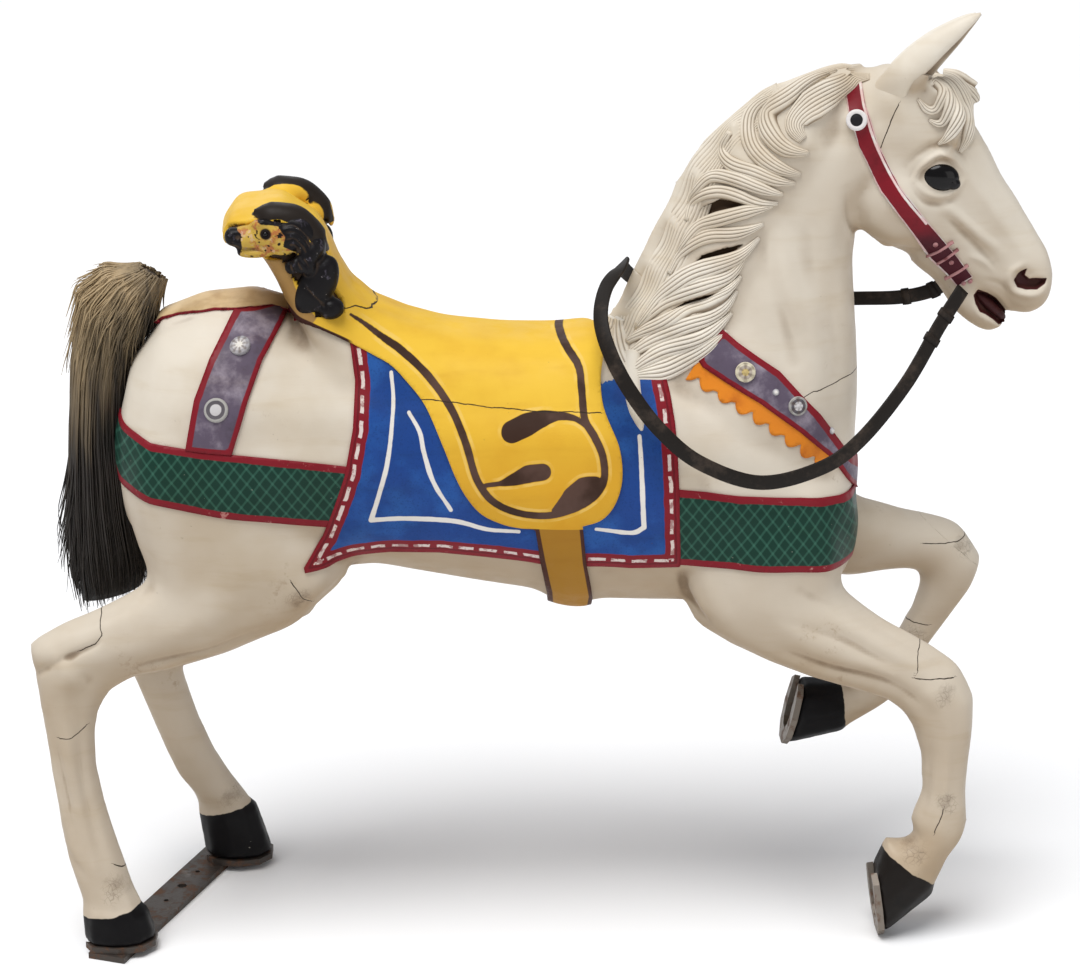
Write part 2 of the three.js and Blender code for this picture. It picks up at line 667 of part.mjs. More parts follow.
const PAINTED_WOOD = colour(0xe6dccb, 0.5);
const HAIR = colour(0x5d452c, 0.75);
const LEATHER = colour(0x3a2c23, 0.55);
const IRON = colour(0x6b6259, 0.55, 0.8);

const figure = body(0);
const skin = surfaceFinder(join([figure.add(harness(0)), head(CHEEK_STRAP_RISE), neck(COLLAR_RISE)]));
let horse = join([
  figure,
  head(0),
  harness(0),
  layer(FRINGE_RISE, scallops()),
  layer(COLLAR_RISE, COLLAR),
  layer(CHEEK_STRAP_RISE, strip(CHEEK_STRAP, CHEEK_STRAP_WIDTH), head),
  loft(SEAT, 12, { square: 1.4, egg: 0.22, caps: [0.1, 0.12] }),
  cantleBeast(-1),
  cantleBeast(1),
  mane(),
  lock(MANE_END.map(([x, z]) => [x, skin(x, z, -1) + 2, z]), 16, 10, 4),
  forelock(),
  ear(-1),
  ear(1),
  eye(-1),
  eye(1),
  bosses(skin),
  ...Object.values(HOOVES).map(hoof),
]);
horse = [nostril(-1), nostril(1), mouth()].reduce((solid, cut) => solid.subtract(cut), horse);

const hair = tail().subtract(body(CRUPPER_RISE + SEAM));

const group = new THREE.Group();
group.add(toMesh(horse, "carved_horse", PAINTED_WOOD));
group.add(toMesh(hair, "horsehair_tail", HAIR));
group.add(toMesh(footBar(), "hind_foot_bar", IRON));
for (const [name, place] of Object.entries(HOOVES)) group.add(toMesh(shoe(place), `${name}_shoe`, IRON));

// The origin is the middle of the box around all but the reins, on the floor
const box = new THREE.Box3().setFromObject(group);
const middle = box.getCenter(new THREE.Vector3());
group.add(toMesh(reins(), "leather_reins", LEATHER));
group.children.forEach((mesh) => mesh.position.set(-middle.x, -middle.y, -box.min.z));

export default group;
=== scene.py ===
# %% [markdown]
# # A carved and painted carousel horse
# The real figure is glued up from planks, carved, sealed with gesso and painted in oil colours that
# have yellowed and cracked. Its tail is real hair, its reins are leather, and an iron bar joins its
# hind feet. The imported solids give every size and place; this lesson adds the smooth carving, the
# raised harness, the grooved hair and the old paint.

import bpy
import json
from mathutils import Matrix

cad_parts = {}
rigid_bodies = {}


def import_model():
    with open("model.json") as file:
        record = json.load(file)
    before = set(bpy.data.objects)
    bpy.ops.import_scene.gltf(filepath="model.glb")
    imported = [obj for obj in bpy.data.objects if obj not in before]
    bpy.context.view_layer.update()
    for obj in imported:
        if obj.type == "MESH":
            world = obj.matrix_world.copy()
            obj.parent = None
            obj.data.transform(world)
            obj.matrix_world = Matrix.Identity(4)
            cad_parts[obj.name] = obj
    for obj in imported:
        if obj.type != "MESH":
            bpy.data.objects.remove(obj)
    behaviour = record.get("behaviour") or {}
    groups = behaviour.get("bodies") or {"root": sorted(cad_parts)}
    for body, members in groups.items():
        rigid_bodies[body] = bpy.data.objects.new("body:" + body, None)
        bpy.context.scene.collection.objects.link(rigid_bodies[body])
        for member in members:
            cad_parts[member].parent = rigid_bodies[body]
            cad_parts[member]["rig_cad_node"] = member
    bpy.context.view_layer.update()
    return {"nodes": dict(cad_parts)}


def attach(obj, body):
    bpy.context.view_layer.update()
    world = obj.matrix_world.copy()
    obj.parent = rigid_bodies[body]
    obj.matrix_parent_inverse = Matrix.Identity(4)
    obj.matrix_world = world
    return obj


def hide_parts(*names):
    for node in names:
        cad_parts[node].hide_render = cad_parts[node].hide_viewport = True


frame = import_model()

# %% [markdown]
# The places in this script are written in the millimetres of a drawing of the horse, seen from its
# right side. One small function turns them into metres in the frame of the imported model, so no number
# has to be written in metres by hand.

# %% Tools for the work
import json
import math
import random

import bmesh
import bpy
import numpy as np
from mathutils import Matrix, Vector
from mathutils.bvhtree import BVHTree

MM = 0.001
DRAWN_ORIGIN = Vector((1.0, -6.5, 0.0))  # where the figure's drawing has its origin, in the frame
RIGHT, LEFT = -1, 1  # the horse's right side is towards -Y


def spot(x, y, z):
    """A point of the figure's drawing, in millimetres, as a place in the frame."""
    return (Vector((x, y, z)) + DRAWN_ORIGIN) * MM


# %% [markdown]
# ## The camera
# The picture was taken from the horse's right, from a little over head height and about three and a
# half metres away. A camera could be set by eye, but the reins and every painted line are compared
# with the picture, so this one stands where the perspective of the feet and the cantle puts it.

# %% Place the camera
CAMERA_PLACE = (-0.114, -3.5065, 1.646)
CAMERA_DOWN = 16.99
CAMERA_RIGHT = 1.88
CAMERA_LENS = 95.7

camera_data = bpy.data.cameras.new("camera")
camera_data.lens = CAMERA_LENS
camera = bpy.data.objects.new("camera", camera_data)
camera.location = CAMERA_PLACE
camera.rotation_euler = (math.radians(90 - CAMERA_DOWN), 0, math.radians(-CAMERA_RIGHT))
bpy.context.scene.collection.objects.link(camera)
bpy.context.scene.camera = camera
print("camera", CAMERA_LENS, "mm lens at", CAMERA_PLACE)

# %% [markdown]
# ## A few makers' helpers
# Most carved locks, ears and straps are one ring of points pushed along a line, so one helper starts
# with a single face and extrudes its edge from ring to ring. Another turns a finished bmesh into a
# piece that rides on the horse and hides the imported solids it stands in for.


# %% Rings, lines and pieces
def sweep(rings, bm=None, tones=None):
    """A closed skin: one face whose edge is extruded to each next ring of points.

    Tones say how hollow each point is. A given bmesh gets the skin added to it.
    """
    bm = bm or bmesh.new()
    hollow = bm.verts.layers.float.get("hollow") or bm.verts.layers.float.new("hollow")
    ring = [bm.verts.new(point) for point in rings[0]]
    bm.faces.new(ring)
    for k, points in enumerate(rings[1:], 1):
        edges = [bm.edges.get(pair) for pair in zip(ring, ring[1:] + ring[:1])]
        below = set(ring)
        grown = bmesh.ops.extrude_edge_only(bm, edges=edges)["geom"]
        above = {}
        for vert in (part for part in grown if isinstance(part, bmesh.types.BMVert)):
            foot = next(e.other_vert(vert) for e in vert.link_edges if e.other_vert(vert) in below)
            above[foot] = vert
        ring = [above[vert] for vert in ring]
        for i, (vert, point) in enumerate(zip(ring, points)):
            vert.co = point
            vert[hollow] = tones[k][i] if tones is not None else 0.0
    bm.faces.new(ring)
    bmesh.ops.recalc_face_normals(bm, faces=bm.faces)
    return bm


def smooth_line(points, count):
    """Evenly spaced points on a smooth curve through the given points (Catmull-Rom)."""
    p = np.array([tuple(q) for q in points], float)
    p = np.vstack([2 * p[0] - p[1], p, 2 * p[-1] - p[-2]])
    t = np.linspace(0, 1, 24, endpoint=False)[:, None]
    runs = []
    for a, b, c, d in zip(p, p[1:], p[2:], p[3:]):
        runs.append(0.5 * (2 * b + (c - a) * t + (2 * a - 5 * b + 4 * c - d) * t**2
                           + (3 * b - a - 3 * c + d) * t**3))
    line = np.vstack([*runs, p[-2][None]])
    along = np.concatenate([[0], np.cumsum(np.linalg.norm(np.diff(line, axis=0), axis=1))])
    even = np.linspace(0, along[-1], count)
    return np.stack([np.interp(even, along, line[:, k]) for k in range(line.shape[1])], 1)


def directions(line):
    """The direction of travel at each point of a line."""
    step = np.gradient(line, axis=0)
    return step / np.linalg.norm(step, axis=1)[:, None]


def make_piece(name, bm, nodes=("carved_horse",), smooth=True):
    """Turns a bmesh into a piece on the horse and hides the imported solids it stands in for."""
    mesh = bpy.data.meshes.new(name)
    bm.to_mesh(mesh)
    bm.free()
    piece = bpy.data.objects.new(name, mesh)
    bpy.context.scene.collection.objects.link(piece)
    if smooth:
        mesh.shade_smooth()
    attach(piece, "root")
    if nodes:
        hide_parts(*nodes)
    return piece


# %% [markdown]
# ## The reins
# One dark harness strap runs from a corner of the mouth, down past the shoulder, round behind the
# mane and back up to the other corner. It is a free strap, so it comes early: its route repeats the
# solid's. A curve with a bevel would be round, so a flat rounded section is swept instead, and its
# flat side turns with the route as leather does.

# %% Sweep the strap
REIN_ROUTE = [
    (524, -38, 838), (493, -62, 798), (447, -98, 732), (388, -135, 672), (337, -154, 642),
    (262, -168, 629), (189, -170, 655), (140, -168, 696), (103, -160, 744), (80, -142, 786),
    (70, -112, 822), (79, -66, 850), (103, -14, 867), (104, 36, 853), (134, 84, 822),
    (212, 112, 800), (320, 110, 792), (409, 82, 799), (463, 66, 804), (500, 54, 815), (524, 40, 834),
]
REIN_WIDTH = 19
REIN_THICKNESS = 4
REIN_STEPS = 260
INSIDE_THE_LOOP = np.array((300, 0, 700), float)

rein_line = smooth_line(REIN_ROUTE, REIN_STEPS)
rein_along = directions(rein_line)
rein_away = rein_line - INSIDE_THE_LOOP
rein_away /= np.linalg.norm(rein_away, axis=1)[:, None]
sideways = np.sign(rein_line[:, 1]) * np.minimum(1, np.abs(rein_line[:, 1]) / 60)
rein_flat = 0.55 * rein_away + sideways[:, None] * np.array((0, 1, 0))
rein_across = np.cross(rein_along, rein_flat)
rein_across /= np.linalg.norm(rein_across, axis=1)[:, None]
rein_out = np.cross(rein_across, rein_along)
section = []
for corner in range(4):
    for turn in (0, 45, 90):
        a = math.radians(90 * corner + turn)
        half_w, half_t, r = REIN_WIDTH / 2, REIN_THICKNESS / 2, 1.4
        sx, sy = [(1, 1), (-1, 1), (-1, -1), (1, -1)][corner]
        section.append((sx * (half_w - r) + r * math.cos(a), sy * (half_t - r) + r * math.sin(a)))
rings = [[spot(*(p + u * a + v * o)) for u, v in section]
         for p, a, o in zip(rein_line, rein_across, rein_out)]
reins = make_piece("rein_strap", sweep(rings), ["leather_reins"])

# %% [markdown]
# ## The carved figure
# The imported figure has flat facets, as a carver's block has after roughing out. Real carving is
# rasped and sanded into soft muscle. Subdividing the facets would keep their edges, so a merged copy
# is remeshed into even small squares and relaxed, most on the broad trunk and least on the hooves.
# What each pass of relaxing takes away from the size is given back, so no leg gets thinner.

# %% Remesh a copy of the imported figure
VOXEL = 3.8


def remesh(bm, voxel):
    """The same closed shape as even squares, as a new mesh."""
    mesh = bpy.data.meshes.new("draft")
    bm.to_mesh(mesh)
    bm.free()
    draft = bpy.data.objects.new("draft", mesh)
    bpy.context.scene.collection.objects.link(draft)
    voxels = draft.modifiers.new("voxels", "REMESH")
    voxels.mode = "VOXEL"
    voxels.voxel_size = voxel * MM
    ready = draft.evaluated_get(bpy.context.evaluated_depsgraph_get())
    result = bpy.data.meshes.new_from_object(ready)
    bpy.data.objects.remove(draft)
    return result


block = bmesh.new()
block.from_mesh(frame["nodes"]["carved_horse"].data)
bmesh.ops.remove_doubles(block, verts=block.verts, dist=0.01 * MM)
figure = remesh(block, VOXEL)
print("remeshed figure", len(figure.vertices), "points")

# %% [markdown]
# A carver's gouge takes wood off along a line, and leaves it beside the line. Here a stroke moves the
# points near a line along their normals, most at its middle. Sculpt brushes do the same by hand; a
# stroke that is written down can be repeated on the other side and changed later.

# %% A carver's view of a mesh
class Carving:
    """The points of a mesh in millimetres of the drawing, with the strokes a carver makes."""

    def __init__(self, mesh):
        self.mesh = mesh
        flat = np.empty(len(mesh.vertices) * 3)
        mesh.vertices.foreach_get("co", flat)
        self.points = flat.reshape(-1, 3) / MM - np.array(DRAWN_ORIGIN)
        pairs = np.empty(len(mesh.edges) * 2, np.int64)
        mesh.edges.foreach_get("vertices", pairs)
        self.ends = pairs.reshape(-1, 2)
        self.valence = np.bincount(pairs, minlength=len(self.points))

    def average(self, values):
        """The mean of each point's neighbours."""
        a, b = self.ends.T
        total = [np.bincount(a, column[b], len(column)) + np.bincount(b, column[a], len(column))
                 for column in values.T]
        return np.stack(total, 1) / self.valence[:, None]

    def relax(self, values, share, times):
        for _ in range(times):
            values = values + share[:, None] * (self.average(values) - values)
        return values

    def smooth(self, share, times):
        """Relaxes the surface, then gives back the size that relaxing took."""
        calm = self.relax(self.points, share, times)
        self.points = calm + self.relax(self.points - calm, share, times)

    def write(self):
        flat = ((self.points + np.array(DRAWN_ORIGIN)) * MM).ravel()
        self.mesh.vertices.foreach_set("co", flat)
        self.mesh.update()

    def normals(self):
        self.write()
        flat = np.empty(len(self.mesh.vertices) * 3)
        self.mesh.vertex_normals.foreach_get("vector", flat)
        return flat.reshape(-1, 3)

    def stroke(self, line, width, lift, sides=(RIGHT, LEFT)):
        """A long soft groove or ridge along a line of the side view."""
        path = smooth_line(line, 40)
        normals = self.normals()
        for side in sides:
            facing = np.clip(normals[:, 1] * side * 2, 0, 1) * (self.points[:, 1] * side > 0)
            near = np.flatnonzero(facing > 0)
            away = self.points[near][:, None, [0, 2]] - path[None]
            gap = np.sqrt((away**2).sum(2))
            end = np.sin(np.pi * np.clip(gap.argmin(1) / (len(path) - 1), 0.02, 0.98)) ** 0.5
            amount = lift * end * np.exp(-((gap.min(1) / width) ** 2)) * facing[near]
            self.points[near] += normals[near] * amount[:, None]

    def sink(self, outline, depth, slope, sides=(RIGHT, LEFT)):
        """A hollow with steep sides inside an outline of the side view."""
        inside = np.clip(outline_depth(self.points[:, [0, 2]], outline) / slope, 0, 1)
        normals = self.normals()
        for side in sides:
            facing = (normals[:, 1] * side > 0.1) & (self.points[:, 1] * side > 0)
            self.points[:, 1] -= side * depth * inside * facing

    def dab(self, centre, radius, lift, sides=(RIGHT, LEFT)):
        """A round hollow or swelling at a point, on one side or both."""
        normals = self.normals()
        for side in sides:
            at = np.array((centre[0], side * centre[1], centre[2]))
            gap = np.linalg.norm(self.points - at, axis=1)
            self.points += normals * (lift * np.exp(-((gap / radius) ** 2)))[:, None]

# %% [markdown]
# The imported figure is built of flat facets. Averaging each point with its neighbours a few times turns
# them into a rounded body, as rasps and sandpaper do, while the strength of it is kept low where the
# real horse is crisp, such as the hooves and the face.

# %% Relax the figure
def between(value, low, high):
    """0 up to low, 1 from high on, with an even rise."""
    return np.clip((value - low) / (high - low), 0, 1)


HOOF_CENTRES = {  # middle of the coronet, middle of the sole
    "right hind": ((-549, -125, 57), (-542, -125, 16)),
    "left hind": ((-423, 138, 84), (-408, 138, 16)),
    "right fore": ((474, -112, 95), (440, -112, 48)),
    "left fore": ((411, 104, 232), (345, 104, 225)),
}

carving = Carving(figure)
x, y, z = carving.points.T
share = np.full(len(x), 0.9)
share = np.minimum(share, 0.22 + 0.68 * between(z, 380, 470))
share = np.minimum(share, 0.9 - 0.68 * between(x, 360, 420) * between(z, 760, 860))
share = np.minimum(share, 0.9 - 0.7 * between(z, 775, 800) * (x < 90))
share = np.minimum(share, 0.9 - 0.6 * between(z, 800, 860) * between(x, 330, 370))
for coronet, sole in HOOF_CENTRES.values():
    middle = (np.array(coronet) + np.array(sole)) / 2
    gap = np.linalg.norm(carving.points - middle, axis=1)
    share = np.minimum(share, 0.07 + 0.8 * between(gap, 45, 75))
RELAX_TIMES = 60
carving.smooth(share, RELAX_TIMES)
POLL = [(290, 1083), (307, 1090), (355, 1108), (398, 1114), (424, 1114)]  # the planed top, x and z
x, y, z = carving.points.T
planed = np.minimum(z, np.interp(x, *np.transpose(POLL)) - y**2 / 90)
carving.points[:, 2] = np.where((x > 290) & (x < 424) & (z > 1060), planed, z)
print("relaxed", RELAX_TIMES, "times")

# %% [markdown]
# ## Outlines in the side view
# Painted edges, carved hollows and raised straps are all drawn as outlines in the side view. Their
# distances blend evenly between points, so a painted edge stays crisp on a coarse mesh, where a
# mask of zeros and ones would show every square.


# %% Distances in the side view
def line_distance(flat, line):
    """Distance of each side-view point from a line of points, with its sign by the line's side."""
    best = np.full(len(flat), 1e9)
    sign = np.ones(len(flat))
    for a, b in zip(np.array(line, float), np.array(line[1:], float)):
        run = b - a
        t = np.clip(((flat - a) @ run) / (run @ run), 0, 1)
        away = flat - a - t[:, None] * run
        gap = np.hypot(*away.T)
        closer = gap < best
        best[closer] = gap[closer]
        cross = run[0] * (flat[:, 1] - a[1]) - run[1] * (flat[:, 0] - a[0])
        sign[closer] = np.sign(cross)[closer]
    return best, sign


def outline_depth(flat, outline):
    """How far inside a closed outline each side-view point is, in mm, negative outside."""
    closed = list(outline) + [outline[0]]
    gap, _ = line_distance(flat, closed)
    inside = np.zeros(len(flat), bool)
    for (ax, az), (bx, bz) in zip(closed, closed[1:]):
        if az == bz:
            continue
        spans = (az > flat[:, 1]) != (bz > flat[:, 1])
        inside ^= spans & (flat[:, 0] < (bx - ax) * (flat[:, 1] - az) / (bz - az) + ax)
    return np.where(inside, gap, -gap)


def store(mesh, name, values):
    """Keeps one number for each point of a mesh, for its material."""
    layer = mesh.attributes.get(name) or mesh.attributes.new(name, "FLOAT", "POINT")
    layer.data.foreach_set("value", np.asarray(values, np.float32))

# %% [markdown]
# The face has finer forms than the trunk, so only the faces of the head are subdivided. Making the
# whole mesh that fine would cost four times the triangles and show nothing more.

# %% Smaller squares on the head
HEAD_FROM = 366
HEAD_ABOVE = (155, 148, 190120)  # x and z times these, more than the last, is head


def refine(mesh, inside):
    """Halves the squares whose corners are all inside, where the carving is small."""
    bm = bmesh.new()
    bm.from_mesh(mesh)
    edges = {edge for face in bm.faces if all(inside[v.index] for v in face.verts) for edge in face.edges}
    bmesh.ops.subdivide_edges(bm, edges=list(edges), cuts=1, use_grid_fill=True)
    bmesh.ops.triangulate(bm, faces=[face for face in bm.faces if len(face.verts) > 4])
    bm.to_mesh(mesh)
    bm.free()


def on_head(points):
    x, _, z = points.T
    return (x > HEAD_FROM) & (x * HEAD_ABOVE[0] + z * HEAD_ABOVE[1] > HEAD_ABOVE[2])


carving.write()
refine(figure, on_head(carving.points))
carving = Carving(figure)
carving.smooth(np.where(on_head(carving.points), 0.6, 0.0), 4)
print("refined head, now", len(carving.points), "points")

# %% [markdown]
# ## Muscle, face and joints
# On the horse the muscles are carved shallow: the elbow fold, the stifle, the long tendons of the
# legs, the cords of the neck and the bones of the face. Each one is a soft stroke along a line of
# the side view, or a round dab. A sculpting brush does the same by hand; strokes with a written
# width and depth can be changed and made again.

# %% Carve the muscles
GROOVES = [  # line in the side view, half width, depth
    ([(172, 494), (178, 470), (186, 452), (196, 438), (209, 423)], 8, -6),
    ([(-232, 507), (-252, 480), (-280, 458)], 9, -4),
    ([(-489, 480), (-540, 456), (-600, 430)], 8, -3),
    ([(-548, 364), (-529, 373), (-495, 388), (-456, 397), (-416, 406), (-373, 423), (-324, 443)], 6, -4.5),
    ([(-616, 387), (-602, 394), (-576, 407), (-556, 417), (-546, 430)], 4.5, -4),
    ([(-640, 368), (-625, 380), (-613, 387)], 4.5, -3.5),
    ([(-619, 320), (-617, 304), (-612, 269), (-605, 231), (-599, 192), (-595, 151)], 4.5, -3.6),
    ([(-606, 140), (-596, 124), (-584, 108)], 5, -2.5),
    ([(-580, 330), (-580, 234), (-566, 156), (-552, 108)], 6, -2.6),
    ([(300, 398), (326, 388), (357, 376), (410, 363), (445, 349), (474, 326)], 6.5, -4.2),
    ([(294, 441), (332, 427), (371, 414), (409, 393), (440, 377)], 8, -2.2),
    ([(319, 479), (410, 426), (488, 384), (535, 336)], 9, -3.5),
    ([(488, 285), (491, 262), (491, 234), (489, 194), (483, 160)], 4.5, -3.4),
    ([(316, 937), (332, 870), (356, 794), (378, 715)], 17, -3.4),
    ([(292, 835), (305, 786), (317, 747)], 15, -2.2),
    ([(192, 648), (214, 560), (262, 480)], 16, -3),
    ([(425, 490), (499, 478), (554, 477)], 7, -2.5),
]
RIDGES = [
    ([(196, 505), (212, 462), (232, 430)], 14, 4),
    ([(184, 486), (195, 462), (208, 443)], 6, 3),
    ([(-262, 520), (-282, 490), (-312, 466)], 15, 4),
    ([(-622, 416), (-602, 390), (-573, 355)], 9, 3.5),
    ([(350, 455), (430, 400), (500, 350)], 11, 3),
    ([(286, 925), (300, 860), (322, 790)], 14, 4),
    ([(345, 930), (366, 850), (388, 760)], 12, 3),
    ([(-598, 320), (-590, 230), (-575, 150)], 6, 2.2),
    ([(-630, 300), (-622, 255), (-614, 216), (-607, 170)], 5, 2.2),
    ([(515, 290), (512, 210), (508, 155)], 6, 1.8),
]
for line, width, lift in GROOVES + RIDGES:
    carving.stroke(line, width, lift)
carving.dab((523, 108, 345), 22, 3, [RIGHT])
carving.dab((-596, 130, 366), 17, 4, [RIGHT])
carving.dab((-625, 118, 402), 12, 3, [RIGHT])
carving.dab((-304, 134, 464), 12, -4, [RIGHT])
carving.dab((495, 135, 338), 17, 3, [RIGHT])
print(len(GROOVES) + len(RIDGES), "muscle strokes")

# %% [markdown]
# The eye sits under a heavy lid, the nostril flares, and the lips part a little. They are the places
# where a viewer looks first. Each one is a few dabs and strokes on the finer mesh, cut on both sides
# from the same numbers.

# %% Carve the face
FACE = [
    ([(496, 946), (536, 911), (569, 884)], 7, 3.5),
    ([(500, 930), (530, 900), (560, 872)], 6, -2.5),
    ([(373, 966), (380, 924), (402, 900), (440, 886), (482, 884)], 6, -4),
    ([(456, 978), (463, 992), (476, 1004), (491, 1009), (507, 1001), (519, 985)], 3.4, 4.5),
    ([(457, 976), (470, 962), (489, 957), (507, 963), (520, 978)], 3.0, 3.0),
    ([(446, 994), (458, 1008), (474, 1018), (493, 1021), (512, 1012), (525, 996)], 4.5, -2.6),
    ([(452, 966), (468, 951), (490, 946), (512, 953)], 4.5, -1.8),
    ([(585, 832), (572, 842), (552, 848)], 4, -1.5),
    ([(520, 990), (560, 935), (596, 885)], 8, 1.5),
    ([(600, 868), (586, 860), (583, 848), (588, 835), (602, 829), (618, 829), (631, 837)], 4, 3.6),
    ([(556, 835), (571, 828), (585, 813), (596, 798)], 3.2, 2.4),
    ([(540, 812), (551, 799), (566, 790), (578, 782)], 3.2, 1.8),
    ([(530, 880), (548, 872), (562, 858)], 3.5, 2.0),
]
EYE = (490, 980)
NOSTRIL = [
    (605, 863), (594, 858), (588, 848), (593, 838), (605, 835), (618, 835), (629, 842), (631, 849),
    (616, 850), (608, 849), (602, 854),
]
MOUTH = [
    (546, 834), (559, 829), (571, 821), (582, 808), (592, 793), (587, 785), (576, 786), (567, 794),
    (557, 801), (550, 804), (544, 815), (541, 826),
]
MANE_HOLES = [
    [(184, 920), (199, 944), (221, 956), (250, 950), (232, 940), (214, 936), (196, 924)],
    [(184, 870), (198, 887), (222, 896), (249, 903), (232, 889), (212, 880), (194, 874)],
    [(150, 811), (177, 830), (200, 840), (227, 845), (214, 832), (194, 821), (173, 815)],
]
for line, width, lift in FACE:
    carving.stroke(line, width, lift)
carving.dab((466, 48, 985), 12, -2)
carving.dab((434, 42, 955), 34, 2.5)
carving.dab((560, 36, 862), 16, -2)
carving.sink(NOSTRIL, 10, 3)
carving.sink(MOUTH, 9, 3)
for hole in MANE_HOLES:
    carving.sink(hole, 12, 3)
carving.write()
print("face carved")

# %% [markdown]
# ## What the paint has to know
# Old paint is dirty in hollows and rubbed on ridges, the hooves are black up to the coronet, and
# three glue joints have opened. The hollows, the undersides, the holes in the mane and the skin under
# the cantle beasts also get painted shade. A shader can't find these places by itself, so they are
# stored on the points: how hollow the surface is, how far it faces down, how far inside a hoof, and
# how far from the nearest crack. Such distances blend evenly between points, so a painted edge stays
# crisp on a coarse mesh.


# %% Store the marks on the figure
BEAST_AREA = [  # a carved head and paw stand here on each side of the cantle
    (-392, 928), (-372, 936), (-352, 940), (-330, 944), (-316, 946), (-294, 934), (-268, 911),
    (-255, 890), (-244, 850), (-240, 822), (-275, 820), (-300, 868), (-314, 892), (-350, 897), (-386, 903),
]
CRACKS = [
    [(322, 716), (333, 721), (345, 722), (357, 726), (378, 731), (402, 733)],
    [(414, 1015), (420, 1033), (426, 1050), (435, 1070)],
    [(-312, 497), (-303, 484), (-297, 473), (-289, 468)],
    [(-551, 452), (-550, 436), (-548, 428), (-556, 417), (-576, 407)],
    [(-607, 291), (-594, 291), (-583, 297), (-574, 306)],
    [(504, 476), (533, 474), (549, 475), (567, 480)],
    [(478, 398), (471, 386), (469, 370)],
    [(467, 360), (486, 358), (518, 356)],
    [(510, 181), (505, 164), (500, 150)],
    [(-545, 122), (-532, 112)],
]


CRAZED = [  # x, z and reach of the places where the paint is crazed
    (-300, 474, 22), (-545, 92, 24), (-415, 108, 22), (478, 122, 20), (506, 338, 20), (560, 468, 20),
    (514, 190, 18),
]


def store_cracks(mesh, flat, cracks):
    gap = np.full(len(flat), 1e9)
    side = np.ones(len(flat))
    for line in cracks:
        away, sign = line_distance(flat, line)
        closer = away < gap
        gap[closer], side[closer] = away[closer], sign[closer]
    store(mesh, "crack", np.clip(gap * side, -20, 20))
    store(mesh, "crack_near", 1 - np.clip(gap / 7, 0, 1))


normals = carving.normals()
even = np.full(len(carving.points), 0.9)
hollow = ((carving.relax(carving.points, even, 10) - carving.points) * normals).sum(1)
hollow = carving.relax(hollow[:, None], even, 3)[:, 0]
hoof_depth = np.full(len(carving.points), -40.0)
for coronet, sole in HOOF_CENTRES.values():
    down = np.array(sole, float) - np.array(coronet, float)
    down /= np.linalg.norm(down)
    depth = (carving.points - np.array(coronet)) @ down
    near = np.linalg.norm(carving.points - np.array(coronet), axis=1) < 110
    hoof_depth[near] = np.maximum(hoof_depth, depth)[near]
store(figure, "hollow", hollow)
store(figure, "hoof", hoof_depth)
flat = carving.points[:, [0, 2]]
store(figure, "maroon", np.maximum(outline_depth(flat, NOSTRIL), outline_depth(flat, MOUTH)))
# painted shade: the holes between the mane's locks and the skin under the cantle beasts turn near black
pit = np.maximum.reduce([outline_depth(flat, hole) for hole in MANE_HOLES])
shade_under_beast = np.minimum(outline_depth(flat, BEAST_AREA), np.abs(carving.points[:, 1]) - 70)
store(figure, "pit", np.maximum(pit, shade_under_beast))
# painted shade: how far each point faces down, so the undersides are painted darker
store(figure, "under", carving.relax(-normals[:, 2:], even, 6)[:, 0])
crazed = np.zeros(len(flat))
for x, z, reach in CRAZED:
    crazed = np.maximum(crazed, np.exp(-(((flat - (x, z)) / reach) ** 2).sum(1)))
store(figure, "crazed", crazed)
store_cracks(figure, flat, CRACKS)
print("hollow from", round(float(hollow.min()), 2), "to", round(float(hollow.max()), 2), "mm")

# %% [markdown]
# The real horse is glued up from blocks. The carved skin is cut at two of those joints, where the
# collar and the girth cover them, so that each piece stays small enough to export, and each cut is
# closed. The ears come off too, because they are swept anew below with their slits.

# %% Split the figure at its glue joints
NECK_JOINT = (Vector((296, 0, 696)), Vector((153, 0, 168)))  # under the collar
GIRTH_JOINT = (Vector((34, 0, 500)), Vector((1, 0, 0)))  # under the saddle and its girth
EAR_CUT = (Vector((460, 0, 1108)), Vector((0.28, 0, 0.96)))
EARS_FROM = 424


def part_of_figure(cuts):
    """The figure with everything beyond each cut taken away and the cut closed."""
    bm = bmesh.new()
    bm.from_mesh(figure)
    for (at, normal), keep_beyond in cuts:
        whole = bm.verts[:] + bm.edges[:] + bm.faces[:]
        if at == EAR_CUT[0]:
            behind = {v for v in bm.verts if v.co.x < spot(EARS_FROM, 0, 0).x or v.co.z < 1.06}
            whole = [v for v in bm.verts if v not in behind]
            whole += [e for e in bm.edges if behind.isdisjoint(e.verts)]
            whole += [f for f in bm.faces if behind.isdisjoint(f.verts)]
        cut = bmesh.ops.bisect_plane(bm, geom=whole, plane_co=(at + DRAWN_ORIGIN) * MM, plane_no=normal,
                                     clear_outer=not keep_beyond, clear_inner=keep_beyond)
        rim = [part for part in cut["geom_cut"] if isinstance(part, bmesh.types.BMEdge)]
        bmesh.ops.holes_fill(bm, edges=rim)
    return bm


head = make_piece("carved_head_and_neck", part_of_figure([(NECK_JOINT, True), (EAR_CUT, False)]))
forehand = make_piece("carved_forehand", part_of_figure([(NECK_JOINT, False), (GIRTH_JOINT, True)]))
hindquarters = make_piece("carved_hindquarters",
                          part_of_figure([(NECK_JOINT, False), (GIRTH_JOINT, False)]))
wood_pieces = [head, forehand, hindquarters]
for piece in wood_pieces:
    print(piece.name, len(piece.data.polygons), "faces")

# %% [markdown]
# ## Writing a material as sums
# A shader is arithmetic on patterns. Wiring nodes by hand is slow to read, so a small class wraps a
# socket and lets it be added, multiplied and compared like a number; a material helper makes any
# other node, mixes colours and turns a range of values into a soft mask.


